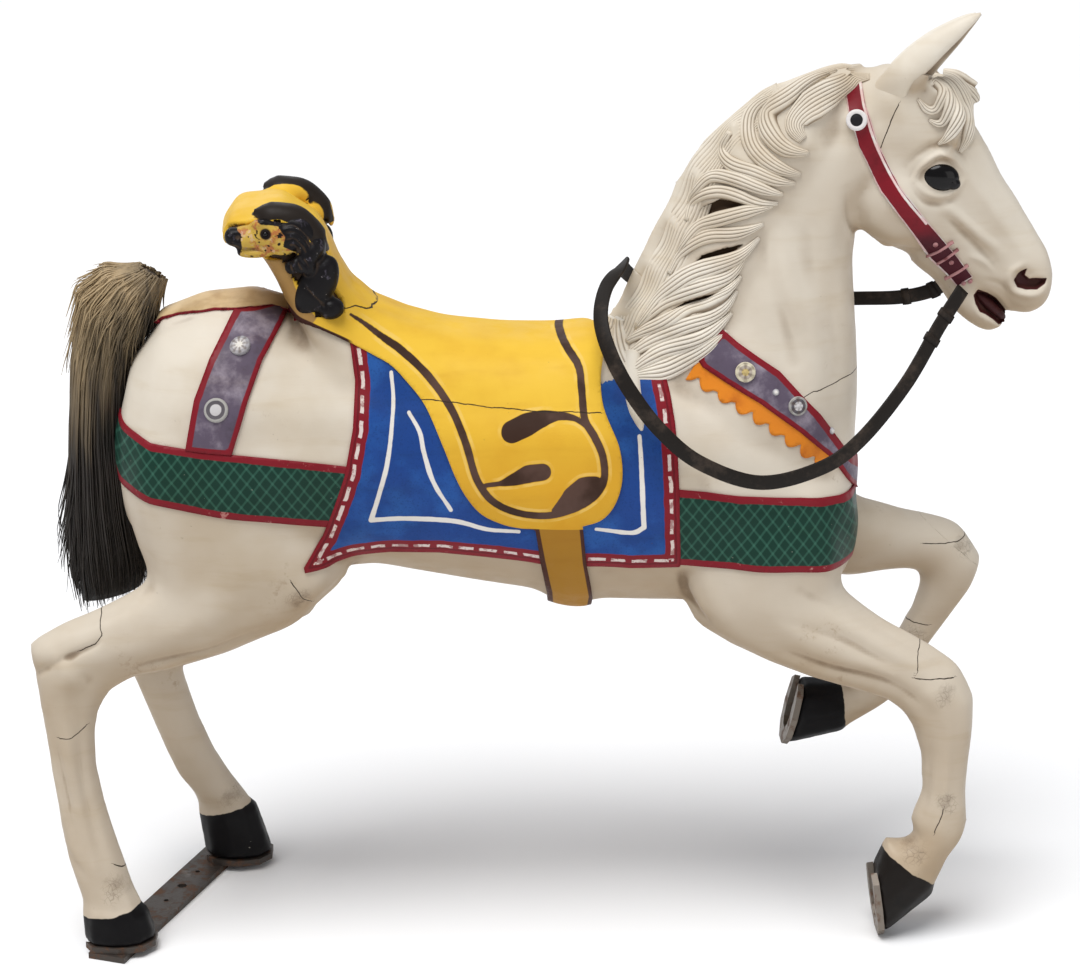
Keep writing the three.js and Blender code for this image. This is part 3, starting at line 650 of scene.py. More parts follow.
# %% Sockets that can be added up
class Wire:
    """A value in a material. Sums on it add Math nodes."""

    def __init__(self, paint, socket):
        self.paint, self.socket = paint, socket

    def math(self, operation, *others):
        inputs = {i: value for i, value in enumerate((self, *others))}
        return self.paint.node("ShaderNodeMath", {"operation": operation}, inputs)

    def __add__(self, other):
        return self.math("ADD", other)

    def __sub__(self, other):
        return self.math("SUBTRACT", other)

    def __rsub__(self, other):
        return self.paint.node("ShaderNodeMath", {"operation": "SUBTRACT"}, {0: other, 1: self})

    def __mul__(self, other):
        return self.math("MULTIPLY", other)

    __radd__ = __add__
    __rmul__ = __mul__

    def __truediv__(self, other):
        return self.math("DIVIDE", other)

    def __abs__(self):
        return self.math("ABSOLUTE")


class Paint:
    def __init__(self, name):
        self.material = bpy.data.materials.new(name)
        self.material.use_nodes = True
        self.tree = self.material.node_tree
        self.tree.nodes.clear()
        self.shader = self.tree.nodes.new("ShaderNodeBsdfPrincipled")
        output = self.tree.nodes.new("ShaderNodeOutputMaterial")
        self.tree.links.new(self.shader.outputs[0], output.inputs[0])
        self.place = self.node("ShaderNodeTexCoord", output="Object")

    def feed(self, socket, value):
        if isinstance(value, Wire):
            self.tree.links.new(value.socket, socket)
        else:
            socket.default_value = value

    def node(self, kind, settings=(), inputs=(), output=0):
        """Any node: its settings first, then the values or links of its sockets."""
        made = self.tree.nodes.new(kind)
        for key, value in dict(settings).items():
            if key == "stops":
                ramp = made.color_ramp
                while len(ramp.elements) < len(value):
                    ramp.elements.new(0.5)
                for element, (at, colour) in zip(ramp.elements, value):
                    element.position, element.color = at, (*colour, 1)
            else:
                setattr(made, key, value)
        for key, value in dict(inputs).items():
            self.feed(made.inputs[key], value)
        return Wire(self, made.outputs[output])

    def mark(self, name):
        """A number stored on the points of the mesh."""
        return self.node("ShaderNodeAttribute", {"attribute_name": name}, output="Fac")

    def stretched(self, scale, turn=(0, 0, 0)):
        """The place on the piece, squeezed and turned for streaks and grain."""
        turn = tuple(math.radians(angle) for angle in turn)
        inputs = {"Vector": self.place, "Scale": scale, "Rotation": turn}
        return self.node("ShaderNodeMapping", inputs=inputs)

    def noise(self, scale, detail=3, roughness=0.55, at=None):
        inputs = {"Vector": at or self.place, "Scale": scale, "Detail": detail, "Roughness": roughness}
        return self.node("ShaderNodeTexNoise", inputs=inputs)

    def rise(self, value, low, high):
        """0 up to low, 1 from high on; low may be the larger."""
        inputs = {"Value": value, "From Min": low, "From Max": high}
        return self.node("ShaderNodeMapRange", {"interpolation_type": "SMOOTHSTEP"}, inputs)

    def mix(self, a, b, mask, how="MIX"):
        """Colour a, and colour b where the mask is 1."""
        a, b = (v if isinstance(v, Wire) or len(v) == 4 else (*v, 1) for v in (a, b))
        settings = {"data_type": "RGBA", "blend_type": how}
        return self.node("ShaderNodeMix", settings, {0: mask, 6: a, 7: b}, output=2)

    def finish(self, colour, roughness, height=None, strength=0.4, distance=1.0, **fixed):
        """Joins colour, roughness and a height in millimetres; fixed values go on the shader."""
        self.feed(self.shader.inputs["Base Color"], colour)
        self.feed(self.shader.inputs["Roughness"], roughness)
        if height is not None:
            bump = self.node("ShaderNodeBump", inputs={
                "Height": height, "Strength": strength, "Distance": distance * MM})
            self.feed(self.shader.inputs["Normal"], bump)
        for name, value in fixed.items():
            self.shader.inputs[name.replace("_", " ")].default_value = value
        return self.material


# %% [markdown]
# ## Old oil paint
# Every painted surface shares one history: a colour laid on with a brush, yellowed unevenly, dirty
# in its hollows, crazed in places and chipped to the gesso. The hollows also get painted shade, laid
# in with the dirt in the same dark colour. The recipe takes the fresh colours as a function, so that
# each piece only describes its own pattern.

# %% Age a painted pattern
CREAM = (0.655, 0.595, 0.50)
CREAM_SHADE = (0.40, 0.305, 0.205)
GESSO = (0.72, 0.66, 0.56)
# dark brown of dirt, crazing and specks, also used as painted shade in the hollows
DIRT_AND_SHADE = (0.085, 0.052, 0.03)
MAROON = (0.055, 0.012, 0.012)


def old_paint(name, design, dirt=1.0, crazing=0.5, chips=0.3, shine=0.42):
    """A painted finish: design(paint) gives the fresh colour; age and painted shade do the rest."""
    paint = Paint(name)
    colour = design(paint)
    blotches = paint.noise(5.0, 4)
    streaks = paint.noise(9.0, 4, at=paint.stretched((1.0, 1.0, 6.0), (0, 20, 0)))
    colour = paint.mix(colour, (0.80, 0.72, 0.60), paint.rise(blotches, 0.48, 0.72) * 0.55, "MULTIPLY")
    colour = paint.mix(colour, (0.86, 0.80, 0.70), paint.rise(streaks, 0.5, 0.8) * 0.5, "MULTIPLY")
    hollow = paint.mark("hollow")
    grime = paint.noise(26.0, 5, 0.65)
    # dirt and painted shade together, in the hollows and in patches
    settled = paint.rise(hollow, 0.10, 0.95) * paint.rise(grime, 0.30, 0.62)
    colour = paint.mix(colour, DIRT_AND_SHADE, settled * (0.62 * dirt))
    specks = paint.rise(paint.noise(150.0, 2), 0.74, 0.80) * paint.rise(blotches, 0.42, 0.6)
    colour = paint.mix(colour, DIRT_AND_SHADE, specks * (0.5 * dirt))
    bent = paint.node("ShaderNodeTexNoise", inputs={"Vector": paint.place, "Scale": 55.0, "Detail": 2.0},
                      output="Color")
    moved = paint.node("ShaderNodeVectorMath", {"operation": "MULTIPLY_ADD"},
                       {0: bent, 1: (0.012, 0.012, 0.012), 2: paint.place})
    cells = paint.node("ShaderNodeTexVoronoi", {"feature": "DISTANCE_TO_EDGE"},
                       {"Vector": moved, "Scale": 150.0}, "Distance")
    where = paint.rise(paint.mark("crazed") * (paint.noise(33.0, 3) * 2.4 - 0.5), 0.2, 0.75)
    crazed = paint.rise(cells, 0.07, 0.01) * where * crazing
    colour = paint.mix(colour, DIRT_AND_SHADE, crazed * 0.4)
    chipped = paint.rise(paint.noise(38.0, 6, 0.7), 0.70, 0.72) * paint.rise(hollow, -0.05, -0.5)
    colour = paint.mix(colour, GESSO, chipped * chips)
    brush = paint.noise(60.0, 3, at=paint.stretched((1.0, 1.0, 7.0), (0, 35, 0)))
    height = brush * 0.25 + blotches * 0.9 - crazed * 0.5 - chipped * 0.25
    rough = shine + 0.22 * paint.rise(grime, 0.4, 0.7) + settled * 0.2
    return paint, colour, rough, height


def crack_lines(paint):
    """Opened glue joints, as thin dark lines."""
    wander = (paint.noise(45.0, 3) - 0.5) * 5.0
    line = paint.rise(abs(paint.mark("crack") + wander), 0.85, 0.35)
    return line * paint.rise(paint.mark("crack_near"), 0.15, 0.45)


def finish_paint(name, design, cracks=False, **ageing_and_shade):
    paint, colour, rough, height = old_paint(name, design, **ageing_and_shade)
    if cracks:
        line = crack_lines(paint)
        colour = paint.mix(colour, (0.03, 0.02, 0.012), line)
        height = height - line * 1.5
    return paint.finish(colour, rough, height, Specular_IOR_Level=0.14, Coat_Weight=0.02,
                        Coat_Roughness=0.25)


def unsteady(paint, value, amount=1.4, scale=60.0):
    """A hand-painted edge: the distance wanders a little."""
    return value + (paint.noise(scale, 2) - 0.5) * (2 * amount)


def cream_wood(paint):
    """Yellowed white and black hooves, with painted shade lower down, underneath, in hollows and in pits."""
    low = paint.node("ShaderNodeSeparateXYZ", inputs={"Vector": paint.place}, output="Z")
    cloud = paint.noise(3.2, 5, 0.6)
    # painted shade lower down; the cloud also adds uneven tone to the old paint
    shade_lower_down = paint.rise(low + (cloud - 0.5) * 0.5, 0.75, 0.15)
    colour = paint.mix(CREAM, CREAM_SHADE, shade_lower_down * 0.45 + paint.rise(cloud, 0.46, 0.72) * 0.4)
    # painted shade on the faces that look down
    under = paint.mark("under") + (paint.noise(7.0, 4) - 0.5) * 0.5
    colour = paint.mix(colour, CREAM_SHADE, paint.rise(under, -0.4, 0.7) * 0.95)
    # painted shade in the hollows
    colour = paint.mix(colour, (0.27, 0.185, 0.11), paint.rise(paint.mark("hollow"), 0.05, 1.0) * 0.6)
    worn = paint.rise(paint.noise(9.0, 6, 0.7), 0.60, 0.70) * paint.rise(paint.noise(110.0, 3, 0.7), 0.48, 0.6)
    colour = paint.mix(colour, (0.30, 0.21, 0.13), worn * 0.55)
    knee = paint.rise(paint.mark("crazed") + (paint.noise(60.0, 4, 0.7) - 0.5) * 1.6, 0.55, 1.2)
    colour = paint.mix(colour, (0.12, 0.08, 0.05), knee * 0.35)
    colour = paint.mix(colour, MAROON, paint.rise(unsteady(paint, paint.mark("maroon"), 0.4), -0.3, 0.6))
    # painted shade, near black, in the mane holes and under the cantle beasts
    colour = paint.mix(colour, (0.05, 0.028, 0.014), paint.rise(paint.mark("pit"), -1.0, 1.0))
    edge = unsteady(paint, paint.mark("hoof"), 2.5)
    black = paint.mix((0.003, 0.0025, 0.003), (0.022, 0.017, 0.013), paint.rise(cloud, 0.56, 0.62) * 0.4)
    return paint.mix(colour, black, paint.rise(edge, -0.6, 0.6))


cream_paint = finish_paint("aged_cream_paint", cream_wood, cracks=True, dirt=0.6, crazing=0.9)
for piece in wood_pieces:
    piece.data.materials.append(cream_paint)
print("cream paint on", len(wood_pieces), "pieces")

# %% [markdown]
# ## The raised harness
# The blanket, saddle, bands and straps are carved a few millimetres proud of the body and painted.
# They could be cut with booleans, but the cut edges would show every square of the remesh. Instead
# the figure's own faces inside a side-view outline are lifted, their rim is moved onto the outline,
# and the layer is given a thickness, so it follows each curve of the body.

# %% Lift a layer off the figure
surface = carving.points.copy()
surface_normals = carving.normals()
figure_faces = [tuple(face.vertices) for face in figure.polygons]
surface_tree = BVHTree.FromPolygons([tuple(p) for p in surface], figure_faces)
face_array = np.array([face if len(face) == 4 else (*face, face[0]) for face in figure_faces])


def snap_rim(bm, outline):
    """Moves a layer's rim onto its outline, along the surface."""
    closed = np.array(list(outline) + [outline[0]], float)
    start, runs = closed[:-1], closed[1:] - closed[:-1]
    for vert in (v for v in bm.verts if v.is_boundary):
        flat = np.array((vert.co.x, vert.co.z))
        t = np.clip(((flat - start) * runs).sum(1) / (runs**2).sum(1), 0, 1)
        feet = start + t[:, None] * runs
        step = feet[np.hypot(*(feet - flat).T).argmin()] - flat
        if np.hypot(*step) > VOXEL * 1.6:
            continue
        if abs(vert.normal.y) > 0.25:
            vert.co.y -= (vert.normal.x * step[0] + vert.normal.z * step[1]) / vert.normal.y
        vert.co.x += step[0]
        vert.co.z += step[1]


def refine_near(bm, value, reach):
    """Halves the squares near the lines of a mark."""
    near = np.abs(value(np.array([(v.co.x, v.co.z) for v in bm.verts]))) < reach
    bm.verts.index_update()
    edges = {e for f in bm.faces if all(near[v.index] for v in f.verts) for e in f.edges}
    bmesh.ops.subdivide_edges(bm, edges=list(edges), cuts=1, use_grid_fill=True)
    bmesh.ops.triangulate(bm, faces=[face for face in bm.faces if len(face.verts) > 4])


def layer(name, outline, rise, keep=None, marks=None, fine=()):
    """A raised painted layer inside a side-view outline, where keep(points) holds."""
    depth = outline_depth(surface[:, [0, 2]], outline)
    wanted = depth > -VOXEL * 0.55
    if keep:
        wanted &= keep(surface)
    inside = wanted[face_array].all(1)
    bm = bmesh.new()
    facing = bm.verts.layers.float_vector.new("facing")
    verts = {}
    for i in np.unique(face_array[inside]):
        verts[int(i)] = vert = bm.verts.new(surface[i])
        vert.normal = vert[facing] = surface_normals[i]
    for corners in face_array[inside]:
        bm.faces.new([verts[i] for i in dict.fromkeys(int(i) for i in corners)])
    snap_rim(bm, outline)
    for mark, reach in fine:
        refine_near(bm, marks[mark], reach)
    grown = bmesh.ops.extrude_face_region(bm, geom=bm.faces[:], use_keep_orig=True)["geom"]
    outer = {part for part in grown if isinstance(part, bmesh.types.BMVert)}
    for vert in bm.verts:
        vert.co += vert[facing].normalized() * (rise if vert in outer else -2)
    bm.verts.layers.float_vector.remove(facing)
    bmesh.ops.recalc_face_normals(bm, faces=bm.faces)
    for vert in bm.verts:
        vert.co = spot(*vert.co)
    piece = make_piece(name, bm)
    places = np.array([tuple(v.co) for v in piece.data.vertices]) / MM - np.array(DRAWN_ORIGIN)
    store(piece.data, "inset", outline_depth(places[:, [0, 2]], outline))
    store(piece.data, "hollow", np.zeros(len(places)))
    for mark, value in (marks or {}).items():
        store(piece.data, mark, value(places[:, [0, 2]]))
    print(name, len(piece.data.polygons), "faces")
    return piece, places


def along(lines):
    """A mark: the distance to the nearest of some lines, less each one's half width there."""
    def value(flat):
        best = np.full(len(flat), 30.0)
        for half, points in lines:
            path = smooth_line(points, 90)
            widths = np.interp(np.linspace(0, 1, 90), np.linspace(0, 1, len(half)), half)
            for a, b, wide in zip(path, path[1:], widths):
                t = np.clip(((flat - a) @ (b - a)) / ((b - a) @ (b - a)), 0, 1)
                best = np.minimum(best, np.hypot(*(flat - a - t[:, None] * (b - a)).T) - wide)
        return best
    return value


def outline_run(outline):
    """A mark: how far along a closed outline its nearest place is."""
    def value(flat):
        best, run, start = np.full(len(flat), 1e9), np.zeros(len(flat)), 0.0
        closed = np.array([*outline, outline[0]], float)
        for a, b in zip(closed, closed[1:]):
            t = np.clip(((flat - a) @ (b - a)) / ((b - a) @ (b - a)), 0, 1)
            gap = np.hypot(*(flat - a - t[:, None] * (b - a)).T)
            length = np.hypot(*(b - a))
            closer = gap < best
            best[closer], run[closer] = gap[closer], start + t[closer] * length
            start += length
        return run
    return value

# %% [markdown]
# The saddle, its blanket and the straps are carved a little proud of the body, each one over the last.
# An outline in the side view says where a layer lies, and its height says what it covers. The saddle
# gets smaller faces along its painted lines, so that those lines keep a clean edge.

# %% Blanket, saddle and bands
BLANKET = [
    (-240, 900), (-235, 793), (-229, 747), (-232, 693), (-243, 636), (-257, 595), (-272, 555),
    (-300, 509), (-267, 513), (-236, 521), (-189, 528), (-129, 529), (-70, 523), (-6, 515), (52, 514),
    (108, 509), (170, 510), (167, 569), (165, 625), (163, 660), (161, 690), (156, 722), (148, 760),
    (130, 900),
]
SADDLE_REAR_EDGE = [
    (-283, 815), (-250, 799), (-224, 785), (-206, 775), (-185, 763), (-166, 744), (-147, 721), (-134, 697),
    (-121, 667), (-108, 634), (-94, 608), (-76, 586), (-51, 573), (-31, 568), (-10, 566),
]
SADDLE_FRONT_EDGE = [
    (47, 571), (69, 578), (84, 594), (93, 617), (95, 641), (91, 667), (81, 690), (74, 707), (70, 725),
    (69, 746), (73, 767), (79, 795), (84, 900),
]
SADDLE = [
    *smooth_line(SADDLE_REAR_EDGE, 60), (-2, 520), (8, 468), (16, 380), (60, 380), (62, 461), (52, 520),
    *smooth_line(SADDLE_FRONT_EDGE, 50), (84, 1000), (-430, 1000), (-430, 886), (-345, 862), (-318, 838),
    (-300, 822),
]
REAR_BAND = [
    (-600, 715), (-520, 690), (-479, 674), (-418, 668), (-363, 663), (-297, 655), (-190, 640),
    (-190, 572), (-263, 568), (-299, 572), (-366, 581), (-420, 590), (-482, 600), (-523, 613),
    (-600, 632),
]
FRONT_BAND = [
    (130, 618), (168, 613), (242, 602), (317, 595), (394, 584), (470, 580), (470, 496), (383, 497),
    (318, 503), (243, 507), (170, 513), (130, 516),
]
RUMP_STRAP = [
    (-300, 829), (-317, 811), (-341, 774), (-358, 730), (-379, 664), (-435, 668), (-423, 728),
    (-405, 773), (-381, 815), (-372, 829),
]
CRUPPER = [
    (-560, 850), (-540, 745), (-505, 768), (-486, 789), (-468, 804), (-448, 811), (-404, 820), (-359, 823),
    (-334, 821), (-314, 815), (-300, 812), (-296, 850),
]
COLLAR = [
    (222, 799), (240, 784), (291, 749), (342, 693), (381, 638), (450, 560), (450, 505), (362, 632),
    (318, 674), (267, 712), (198, 753), (190, 765),
]


def below_mane_and_cantle(points):
    return (points[:, 2] < 738) | ((points[:, 0] < 66) & (points[:, 2] < 812))


blanket, _ = layer("saddle_blanket", BLANKET, 3.0, below_mane_and_cantle, fine=[("white", 7)], marks={
    "run": outline_run(BLANKET), "white": along([
    ([2.2, 3.0], [(-185, 757), (-183, 719), (-190, 656), (-202, 610), (-212, 577)]),
    ([3.0, 3.2, 2.4], [(-212, 577), (-168, 579), (-109, 575), (-70, 564), (-31, 561)]),
    ([2.0, 3.0, 2.4], [(-164, 711), (-151, 688), (-146, 663), (-135, 627), (-114, 590)]),
    ([2.4, 3.0, 3.2], [(117, 679), (119, 648), (121, 601), (123, 566)]),
    ([3.2, 2.8, 2.2], [(123, 566), (107, 559), (64, 565)]),
])})
SADDLE_FINE = [("brown", 8)]


def beside_beasts(points):
    """All but the places where the beasts stand."""
    return (np.abs(points[:, 1]) < 72) | (outline_depth(points[:, [0, 2]], BEAST_AREA) < 4)


saddle, saddle_places = layer("saddle", SADDLE, 5.5, beside_beasts, fine=SADDLE_FINE, marks={"brown": along([
    ([1.4, 4.2, 4.6, 4.6, 4.6, 4.8, 4.6, 4.4, 4.6, 4.6, 4.4],
     [(-234, 823), (-200, 799), (-169, 778), (-143, 755), (-124, 732), (-108, 707), (-95, 675),
      (-82, 631), (-62, 603), (-31, 588), (5, 585), (39, 595), (62, 610), (73, 629), (72, 657),
      (61, 683), (50, 701), (47, 736), (44, 759), (31, 776), (20, 790)]),
    ([3.0, 3.4, 5.0, 9.5, 13.0, 13.0], [(54, 692), (38, 702), (17, 705), (-6, 701), (-25, 694), (-39, 688)]),
    ([2.4, 3.2, 7.5, 11.0, 10.5], [(-72, 624), (-51, 627), (-35, 632), (-18, 638), (-2, 640)]),
    ([3.0, 9.0, 14.5, 15.0, 9.0], [(12, 592), (28, 602), (42, 613), (53, 621), (62, 625)]),
])})
rear_band, _ = layer("rear_body_band", REAR_BAND, 2.4)
front_band, _ = layer("breast_band", FRONT_BAND, 2.4, lambda points: points[:, 0] < 405)
rump_strap, _ = layer("rump_strap", RUMP_STRAP, 3.4, lambda points: points[:, 2] > 600)
crupper, _ = layer("crupper_band", CRUPPER, 4.4, lambda points: points[:, 2] > 765)
collar, _ = layer("collar_strap", COLLAR, 3.4, lambda points: points[:, 0] < 412)

# %% [markdown]
# A row of pointed scallops hangs below the collar. It is one more layer, whose lower edge is drawn by a
# small formula instead of by hand: the further a place is from a notch, the lower the edge drops.

# %% The scalloped fringe below the collar
FRINGE_LINE = [(186, 752), (262, 707), (313, 671), (352, 640)]
FRINGE_SCALLOPS = 8
lower_edge = []
fringe_line = smooth_line(FRINGE_LINE, FRINGE_SCALLOPS * 8 + 1)
fringe_along = directions(fringe_line)
for i, ((px, pz), (ax, az)) in enumerate(zip(fringe_line, fringe_along)):
    drop = 5 + 13 * abs(math.cos(math.pi * (i / 8)))**0.8
    lower_edge.append((px + az * drop, pz - ax * drop))
FRINGE = [(196, 768), *lower_edge, (362, 640), (362, 652), (300, 716)]
fringe, _ = layer("collar_fringe", FRINGE, 1.6)


# %% [markdown]
# ## Colours of the harness
# The blanket is blue with a red border that carries white dashes; the bands are green with a hatched
# pattern and red edges; the straps are grey violet. Each pattern reads the stored distance from the
# edge, so a border keeps its width round every corner.

# %% Paint the harness
RED = (0.20, 0.010, 0.018)
DARK_RED = (0.09, 0.006, 0.010)
BLUE = (0.012, 0.052, 0.225)
YELLOW = (0.76, 0.475, 0.045)
OCHRE = (0.60, 0.30, 0.018)
BROWN = (0.040, 0.019, 0.012)
GREEN = (0.007, 0.036, 0.024)
VIOLET = (0.105, 0.082, 0.118)
ORANGE = (0.74, 0.235, 0.020)
CHALK = (0.72, 0.69, 0.64)


def blanket_design(paint):
    inset = unsteady(paint, paint.mark("inset"))
    weave = paint.noise(420.0, 1)
    blue = paint.mix(BLUE, (0.022, 0.105, 0.36), paint.rise(paint.noise(16.0, 4), 0.45, 0.68) * 0.7)
    blue = paint.mix(blue, (0.008, 0.032, 0.13), paint.rise(weave, 0.55, 0.7) * 0.35)
    colour = paint.mix(blue, CHALK, paint.rise(unsteady(paint, paint.mark("white"), 0.8), 0.5, -0.5))
    beat = (unsteady(paint, paint.mark("run"), 6.0, 40.0) * (1 / 27)).math("FRACT")
    worn = paint.rise(paint.noise(90.0, 3, 0.7), 0.60, 0.50)
    dash = paint.rise(beat, 0.24, 0.30) * paint.rise(beat, 1.0, 0.97)
    lane = paint.rise(abs(unsteady(paint, inset, 0.9, 110.0) - 10.0), 2.5, 1.9)
    border = paint.mix(RED, (0.66, 0.56, 0.52), dash * lane * (0.35 + 0.65 * worn))
    border = paint.mix(border, DARK_RED, paint.rise(abs(inset - 5.2), 1.6, 0.6) * 0.7)
    return paint.mix(border, colour, paint.rise(inset, 18.2, 19.2))


def saddle_design(paint):
    inset = paint.mark("inset")
    tone = paint.noise(12.0, 4)
    height = paint.node("ShaderNodeSeparateXYZ", inputs={"Vector": paint.place}, output="Z")
    low = paint.rise(height + (tone - 0.5) * 0.16, 0.74, 0.62)
    colour = paint.mix(YELLOW, OCHRE, low * 0.75 + paint.rise(tone, 0.5, 0.72) * 0.25)
    line = unsteady(paint, paint.mark("brown"), 0.7)
    halo = paint.rise(abs(line - 2.6), 2.4, 1.2) * paint.rise(paint.noise(30.0, 3), 0.35, 0.6)
    colour = paint.mix(colour, (0.80, 0.56, 0.16), halo * 0.55)
    brown = paint.mix(BROWN, (0.105, 0.058, 0.045), paint.rise(tone, 0.42, 0.6) * 0.7)
    colour = paint.mix(colour, brown, paint.rise(line, 0.5, -0.5))
    girth = paint.rise(paint.mark("girth"), 0.5, -0.5)
    colour = paint.mix(colour, (0.31, 0.145, 0.016), girth * 0.9)
    panel = paint.rise(paint.mark("panel"), -0.8, 1.0)
    colour = paint.mix(colour, (0.33, 0.19, 0.075), panel * 0.9)
    rear = paint.rise(paint.mark("rear"), -3.0, 6.0)
    colour = paint.mix(colour, (0.045, 0.014, 0.010), rear * paint.rise(inset, 5.0, 3.8))
    colour = paint.mix(colour, (0.06, 0.02, 0.012), girth * paint.rise(inset, 4.6, 3.6))
    stripe = paint.rise(unsteady(paint, paint.mark("stripe"), 1.5), 0.5, -0.5)
    return paint.mix(colour, (0.018, 0.013, 0.01), stripe)


def band_design(paint):
    inset = unsteady(paint, paint.mark("inset"), 1.0)
    hatch = None
    for angle in (38, -38):
        across = paint.node("ShaderNodeTexWave", {"wave_type": "BANDS", "bands_direction": "X"}, {
            "Vector": paint.stretched((1, 0, 1), (0, angle, 0)), "Scale": 26.0, "Distortion": 0.9,
            "Detail": 1.0}, "Fac")
        line = paint.rise(across, 0.80, 0.98)
        hatch = line if hatch is None else hatch + line
    green = paint.mix(GREEN, (0.035, 0.115, 0.080), hatch * 0.55)
    green = paint.mix(green, (0.30, 0.32, 0.26), paint.rise(paint.noise(160.0, 3), 0.72, 0.76) * 0.6)
    edge = paint.mix(RED, (0.48, 0.22, 0.20), paint.rise(paint.noise(55.0, 5, 0.7), 0.62, 0.68) * 0.8)
    return paint.mix(edge, green, paint.rise(inset, 8.0, 9.0))


def strap_design(paint):
    inset = unsteady(paint, paint.mark("inset"), 0.8)
    cloud = paint.noise(17.0, 5, 0.65)
    violet = paint.mix(VIOLET, (0.30, 0.26, 0.31), paint.rise(cloud, 0.46, 0.70))
    violet = paint.mix(violet, (0.06, 0.045, 0.06), paint.rise(cloud, 0.44, 0.30) * 0.6)
    return paint.mix(RED, violet, paint.rise(inset, 5.8, 6.8))


def crupper_design(paint):
    inset = unsteady(paint, paint.mark("inset"), 0.8)
    tan = paint.mix((0.58, 0.43, 0.24), (0.40, 0.27, 0.13), paint.rise(paint.noise(14.0, 5), 0.45, 0.65))
    return paint.mix(RED, tan, paint.rise(inset, 3.6, 4.6))


def fringe_design(paint):
    worn = paint.rise(paint.noise(30.0, 4), 0.5, 0.75)
    return paint.mix(ORANGE, (0.45, 0.10, 0.012), worn * 0.6)


STRIPE = [
    (-352, 945), (-330, 944), (-316, 946), (-301, 941), (-286, 928), (-266, 902), (-258, 905),
    (-264, 935), (-285, 1000), (-328, 1000),
]
REAR_PANEL = [
    (-345, 892), (-309, 896), (-300, 862), (-287, 838), (-274, 824), (-284, 812), (-318, 812), (-332, 850),
]
SADDLE_CRACKS = [
    [(-199, 728), (-138, 725), (-77, 717), (-4, 710), (69, 708)],
    [(-204, 822), (-216, 824), (-229, 830), (-247, 829), (-256, 824)],
]
store(saddle.data, "girth", saddle_places[:, 2] - 566)
store(saddle.data, "panel", outline_depth(saddle_places[:, [0, 2]], REAR_PANEL))
store(saddle.data, "rear", np.minimum(-232 - saddle_places[:, 0], 845 - saddle_places[:, 2]))
on_side = np.abs(saddle_places[:, 1]) - 66
store(saddle.data, "stripe", -np.minimum(on_side, outline_depth(saddle_places[:, [0, 2]], STRIPE)))
store_cracks(saddle.data, saddle_places[:, [0, 2]], SADDLE_CRACKS)
blanket.data.materials.append(finish_paint("blanket_paint", blanket_design, dirt=0.9))
saddle.data.materials.append(finish_paint("saddle_paint", saddle_design, cracks=True, dirt=0.8))
for piece in (rear_band, front_band):
    piece.data.materials.append(finish_paint(piece.name + "_paint", band_design, chips=0.5))
for piece in (rump_strap, collar):
    piece.data.materials.append(finish_paint(piece.name + "_paint", strap_design))
crupper.data.materials.append(finish_paint("crupper_paint", crupper_design))
fringe.data.materials.append(finish_paint("fringe_paint", fringe_design))
print("harness painted")

# %% [markdown]
# ## Carved hair
# The mane is carved as locks that leave the crest and curl towards the throat, each one grooved with
# a parting tool. The grooves are finer than the figure's squares, so each lock is swept along its own
# line with a grooved and domed section, and its underside is sunk into the neck.


# %% A grooved lock
def skin_at(x, z, side):
    """The figure's side at a place of the side view, and the way it faces."""
    place, facing, _, _ = surface_tree.ray_cast(Vector((x, side * 300, z)), Vector((0, -side, 0)))
    if place is None or facing.y * side < 0.15:
        place, facing, _, _ = surface_tree.find_nearest(Vector((x, side * 14, z)))
    return place, facing


def settled(rows, times):
    """Evens out a line of places or directions and keeps its ends."""
    rows = np.array(rows, float)
    for _ in range(times):
        rows[1:-1] = (rows[:-2] + 2 * rows[1:-1] + rows[2:]) / 4
    return rows


def lock(bm, line, widths, lift, strands, side=RIGHT, depth=8, count=46):
    """A grooved dome along a line of the side view, or along a line of places near the skin."""
    path = smooth_line(line, count)
    if path.shape[1] == 2:
        found = [skin_at(x, z, side) for x, z in path]
    else:
        found = [surface_tree.find_nearest(Vector(place))[:2] for place in path]
    spine = settled([place for place, _ in found], 8)
    facing = settled([normal for _, normal in found], 14)
    ahead = directions(spine)
    across = np.cross(facing, ahead)
    across /= np.linalg.norm(across, axis=1)[:, None]
    out = np.cross(ahead, across)
    half = np.interp(np.linspace(0, 1, count), np.linspace(0, 1, len(widths)), widths) / 2
    u = np.linspace(-1, 1, strands * 6 + 1)
    dome = np.sqrt(1 - 0.97 * u**2)
    groove = 1 - np.abs(np.sin(np.pi * strands * (u + 1) / 2)) ** 0.6
    rings, tones = [], []
    for k in range(count):
        swell = min(1.0, half[k] / (max(widths) * 0.28))
        height = lift * swell * dome - 0.62 * half[k] / strands * groove
        top = spine[k] + across[k] * (u * half[k])[:, None] + out[k] * height[:, None]
        under = [spine[k] + across[k] * s * half[k] * 0.9 - out[k] * depth for s in (1, -1)]
        rings.append([spot(*place) for place in (*top, *under)])
        tones.append([*(0.85 * groove), 0.8, 0.8])
    return sweep(rings, bm, tones)

# %% [markdown]
# Each lock is drawn by the line down its middle, its widths along that line, how far it stands out and
# how many strands it has. They are laid from the back one to the front one, so that each overlaps the
# one behind it, as roof tiles do.

